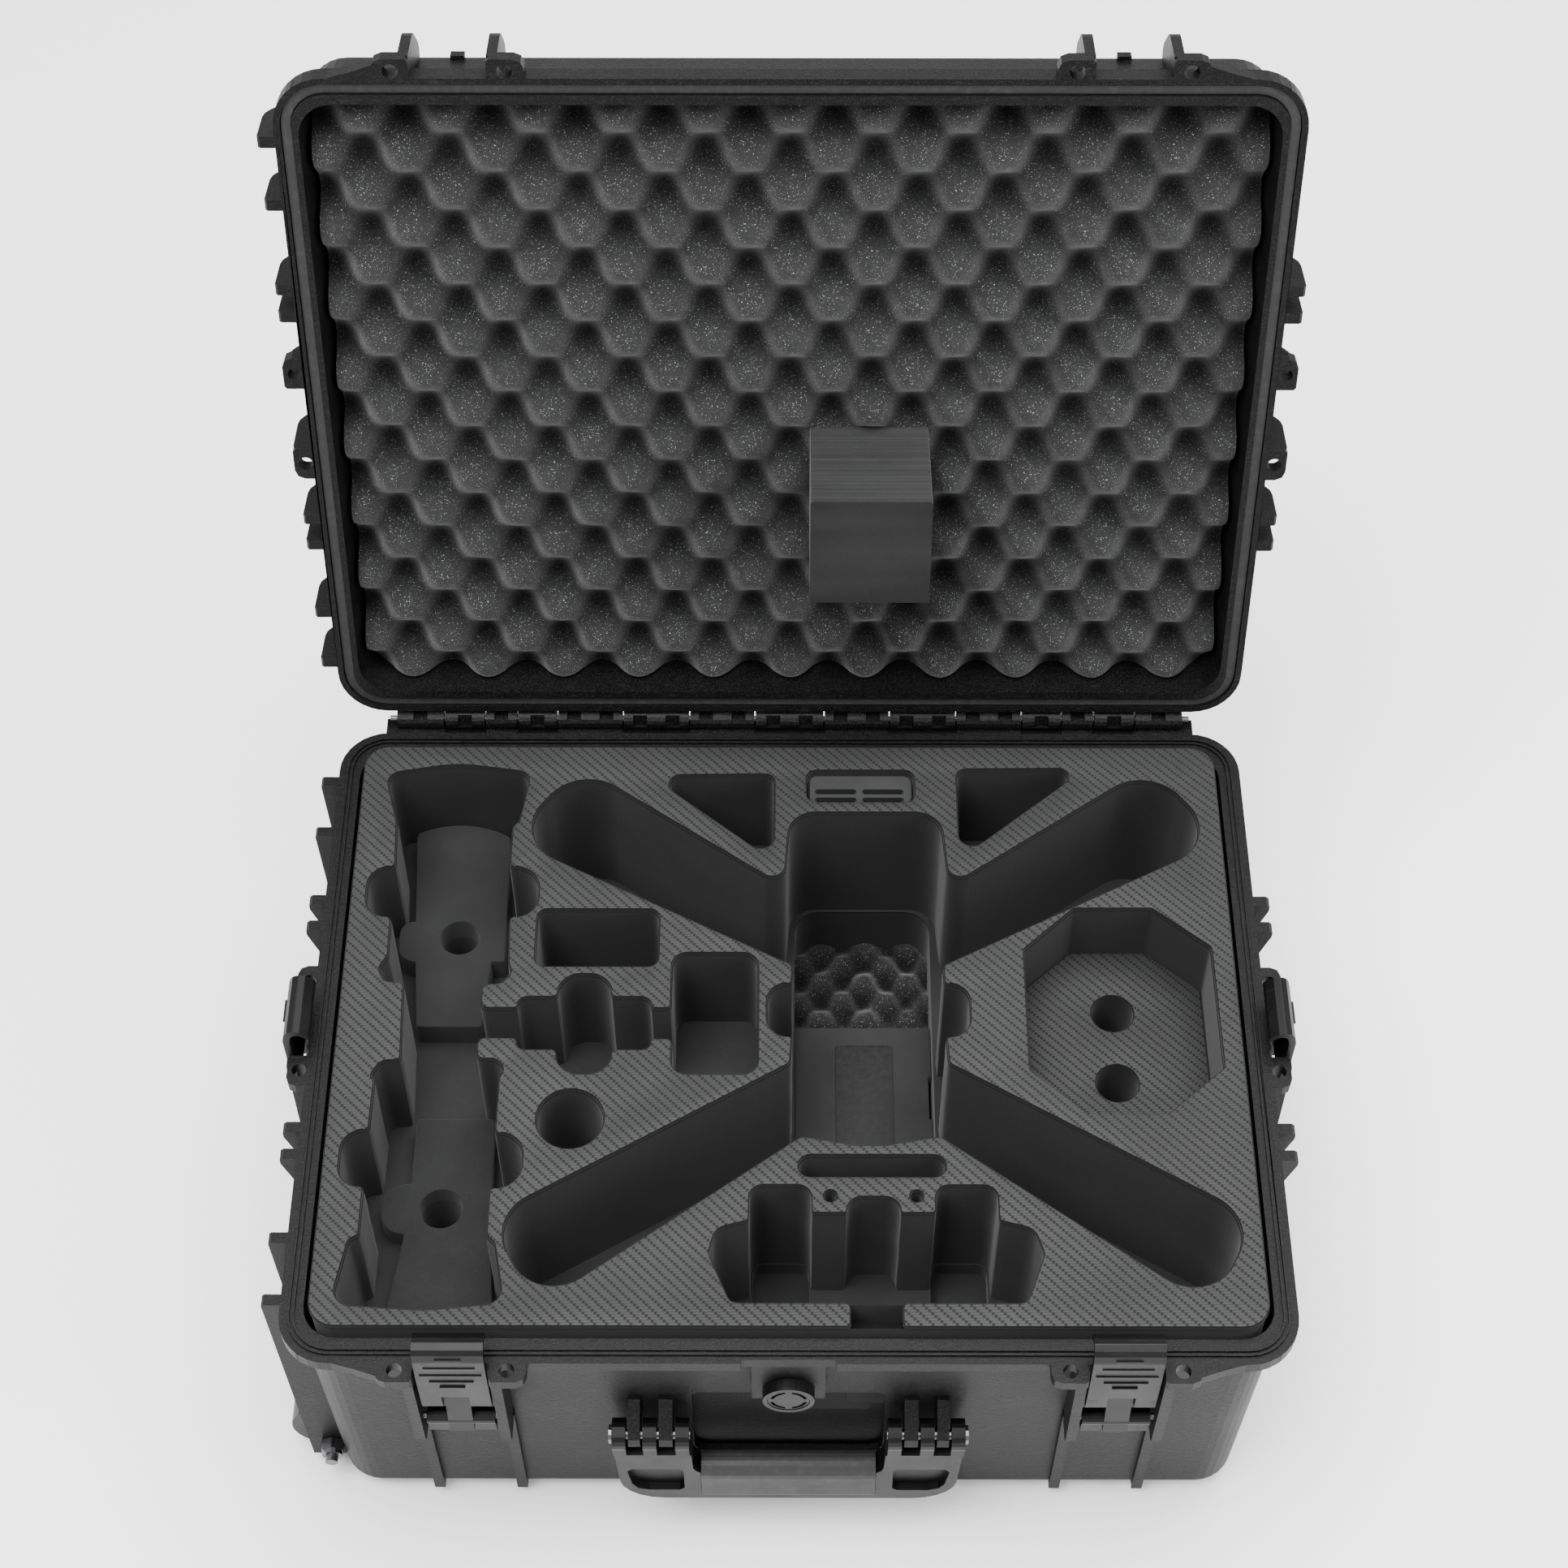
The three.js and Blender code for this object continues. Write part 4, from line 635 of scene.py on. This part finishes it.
def inserts():
    insert("remote_insert_upper_foam", [
        (-243, 179, 4), (-239, 110, 1), (-248.5, 110, 14), (-248.5, 80, 14), (-237, 79.5, 1), (-233, 31, 2),
        (-192, 31, 2), (-189, 79.5, 1), (-180.5, 79.5, 2), (-182, 176, 4), (-212, 192, 60)],
        162, REMOTE_FINGERS[:1], INSERT_FOAM, "remote_insert_upper")
    insert("remote_insert_lower_foam", [
        (-228, -32, 3), (-228, -77, 1), (-245, -77, 16), (-245, -111, 16), (-230, -111, 1), (-240, -187, 3),
        (-172, -187, 3), (-179, -111, 1), (-180, -32, 3)],
        157, REMOTE_FINGERS[1:], INSERT_FOAM, "remote_insert_lower")
    shrunk = [(201.5 + (x - 201.5) * 0.985, 8 + (y - 8) * 0.985, r) for x, y, r in CHARGER_POCKET]
    insert("charger_insert_foam", shrunk, 174, CHARGER_FINGERS, MATERIALS["foam_skin"], "charger_insert",
           "foam_skin", EDGE_FOAM)
    cuts = [rounded([(x, y, 1.2), (x + 25, y, 1.2), (x + 25, y + 2.6, 1.2), (x, y + 2.6, 1.2)])
            for x in (17, 47) for y in (164.5, 171)]
    tray = slab("card_tray_foam", rounded([(12.2, 162.7, 5.5), (78.3, 162.7, 5.5), (78.3, 185.3, 5.5),
                                          (12.2, 185.3, 5.5)]), cuts, 204.3, 218, 0.8, TRAY_FOAM, EDGE_FOAM)
    declare(tray, "case", "foam", "card_tray")
    rest = slab("rest_block_foam", rounded([
        (3.9, -77, 7), (91.9, -77, 7), (91.9, 5.7, 0.4), (89.8, 5.7, 0.4), (89.8, 36.6, 0.4), (91.9, 36.6, 0.4),
        (91.9, 74, 1), (3.9, 74, 1)]), [], BODY_FLOOR + 0.3, 92, 1.0, REST_FOAM)
    declare(rest, "case", "foam", "rest_block")
    plate = slab("blank_plate", rounded([(30, -70, 2), (67, -70, 2), (67, 60, 2), (30, 60, 2)]), [],
                 92, 92.8, 0.3, LABEL)
    declare(plate, "case", "foam")


def egg_height(x, y, phase_x, phase_y):
    """Height of convoluted foam from -1, a hollow, to 1, a peak."""
    wave = (math.cos(2 * math.pi * (x - phase_x) / EGG_PITCH_X) * math.cos(2 * math.pi * (y - phase_y) / EGG_PITCH_Y))
    return math.copysign(abs(wave) ** 0.85, wave)


def egg_sheet(name, half_x, half_y, centre, corner, peak, valley, back, phase, step, matrix, scale=1.0,
              uneven=0.06):
    """A sheet of convoluted foam: a wavy face at the peak and valley heights, with sides to its flat back."""
    columns = round(2 * half_x / step)
    rows = round(2 * half_y / step)
    verts, faces, depths = [], [], []
    for j in range(rows + 1):
        for i in range(columns + 1):
            x = -half_x + 2 * half_x * i / columns
            y = -half_y + 2 * half_y * j / rows
            dx = max(0, abs(x) - (half_x - corner))
            dy = max(0, abs(y) - (half_y - corner))
            reach = math.hypot(dx, dy)
            if reach > corner:
                x = math.copysign(half_x - corner + dx * corner / reach, x)
                y = math.copysign(half_y - corner + dy * corner / reach, y)
            tall = (egg_height(x * scale, y * scale, *phase) + 1) / 2
            tall += uneven * noise.noise(Vector((x * scale / 26, y * scale / 26, 3)))
            edge = min(half_x - abs(x), half_y - abs(y))
            tall *= 1 - 0.12 * max(0, 1 - edge / 6)
            verts.append((centre[0] + x, centre[1] + y, valley + (peak - valley) * tall))
            depths.append(1 - tall)
    width = columns + 1
    for j in range(rows):
        for i in range(columns):
            a = j * width + i
            faces.append((a, a + 1, a + width + 1, a + width))
    rim = ([i for i in range(width)] + [j * width + columns for j in range(1, rows + 1)]
           + [rows * width + i for i in range(columns - 1, -1, -1)] + [j * width for j in range(rows - 1, 0, -1)])
    start = len(verts)
    verts += [(verts[i][0], verts[i][1], back) for i in rim]
    # the sides count as deep: painted shade on them too
    depths += [0.8] * len(rim)
    for k in range(len(rim)):
        after = (k + 1) % len(rim)
        faces.append((rim[k], start + k, start + after, rim[after]))
    faces.append(tuple(range(start, start + len(rim))))
    obj = new_object(name, verts, faces, MATERIALS["egg_foam"], matrix)
    # depth: how far into a hollow each point lies, read by the egg foam's painted shade
    layer = obj.data.attributes.new("depth", "FLOAT", "POINT")
    layer.data.foreach_set("value", [min(1, max(0, d)) for d in depths])
    return shade(obj, 50)


def egg_foams():
    lid = egg_sheet("lid_egg_crate", 271, 203, (0, 0), 14, EGG_PEAK, EGG_VALLEY, LID_PANEL - 0.5, (0, 4), 2.7, LID_PLACE)
    declare(lid, "lid", "egg_foam", "lid_egg_foam")
    pad = egg_sheet("bed_egg_crate", 44.6, 37, (48, 113.2), 12, 77, 68, BODY_FLOOR + 0.3, (3, 12), 1.3, None, 1.7, 0.5)
    declare(pad, "case", "egg_foam", "egg_pad")
    block = slab("lid_block", rounded([(12, 17, 1.5), (84, 17, 1.5), (84, 90, 1.5), (12, 90, 1.5)]), [], 153, 240, 0.8,
                 BLOCK_FOAM, matrix=LID_PLACE)
    declare(block, "lid", "foam", "lid_foam_block")


# ------------------------------------------------------------ hard parts that keep their CAD shape


def finish_hard_parts():
    slots = {part["node"]: part["material_slot"] for part in frame["record"]["subparts"]}
    widths = {"base_shell": 0.9, "lid_shell": 0.9, "handle_frame": 0.9, "handle_grip": 1.6, "trolley_grip": 2}
    for name, obj in frame["nodes"].items():
        material = MATERIALS[slots[name]]
        if obj.data.materials:
            for index in range(len(obj.data.materials)):
                obj.data.materials[index] = material
        else:
            obj.data.materials.append(material)
        if "foam" in name or "insert" in name or name in ("card_tray", "egg_pad", "rest_block"):
            continue
        flatten = obj.modifiers.new("flatten", "DECIMATE")
        flatten.decimate_type = "DISSOLVE"
        flatten.angle_limit = math.radians(1)
        width = widths.get(name, 0.5)
        soften = obj.modifiers.new("soften", "BEVEL")
        soften.width = width * MM
        soften.segments = 2
        soften.limit_method = "ANGLE"
        soften.angle_limit = math.radians(32)
        soften.use_clamp_overlap = True
        soften.harden_normals = False
        weigh = obj.modifiers.new("weigh", "WEIGHTED_NORMAL")
        weigh.keep_sharp = False


# ------------------------------------------------------------ floor, light and camera


def studio():
    mesh = bpy.data.meshes.new("floor")
    size = 12
    mesh.from_pydata([(-size, -size, 0), (size, -size, 0), (size, size, 0), (-size, size, 0)], [], [(0, 1, 2, 3)])
    floor = bpy.data.objects.new("floor", mesh)
    bpy.context.collection.objects.link(floor)
    mat, n = new_material("floor", (0.93, 0.93, 0.93), 0.9)
    n.finish(n.mix(n.noise(3, 2), (0.92, 0.92, 0.92), (0.94, 0.94, 0.94)))
    mesh.materials.append(mat)
    world = bpy.data.worlds.new("studio")
    bpy.context.scene.world = world
    world.use_nodes = True
    background = world.node_tree.nodes["Background"]
    background.inputs["Color"].default_value = (1, 1, 1, 1)
    background.inputs["Strength"].default_value = 1.1
    for name, place, energy, width in (("key", (-0.8, -0.7, 2.7), 120, 1.5), ("top", (0.3, 0.5, 2.8), 150, 2.2),
                                       ("side", (2.2, -0.6, 1.3), 48, 1.4)):
        light = bpy.data.lights.new(name, "AREA")
        light.energy = energy
        light.size = width
        lamp = bpy.data.objects.new(name, light)
        bpy.context.collection.objects.link(lamp)
        lamp.location = place
        lamp.rotation_euler = (Vector((0, 0.05, 0.2)) - Vector(place)).to_track_quat("-Z", "Y").to_euler()


def camera():
    data = bpy.data.cameras.new("camera")
    data.lens = 68.52
    data.sensor_width = 36
    data.clip_end = 50
    obj = bpy.data.objects.new("camera", data)
    bpy.context.collection.objects.link(obj)
    obj.location = (-0.0011, -0.9507, 1.7541)
    obj.rotation_euler = (math.radians(36.32), 0, math.radians(0.12))
    bpy.context.scene.camera = obj


camera()
studio()
finish_hard_parts()
base_foam()
inserts()
egg_foams()
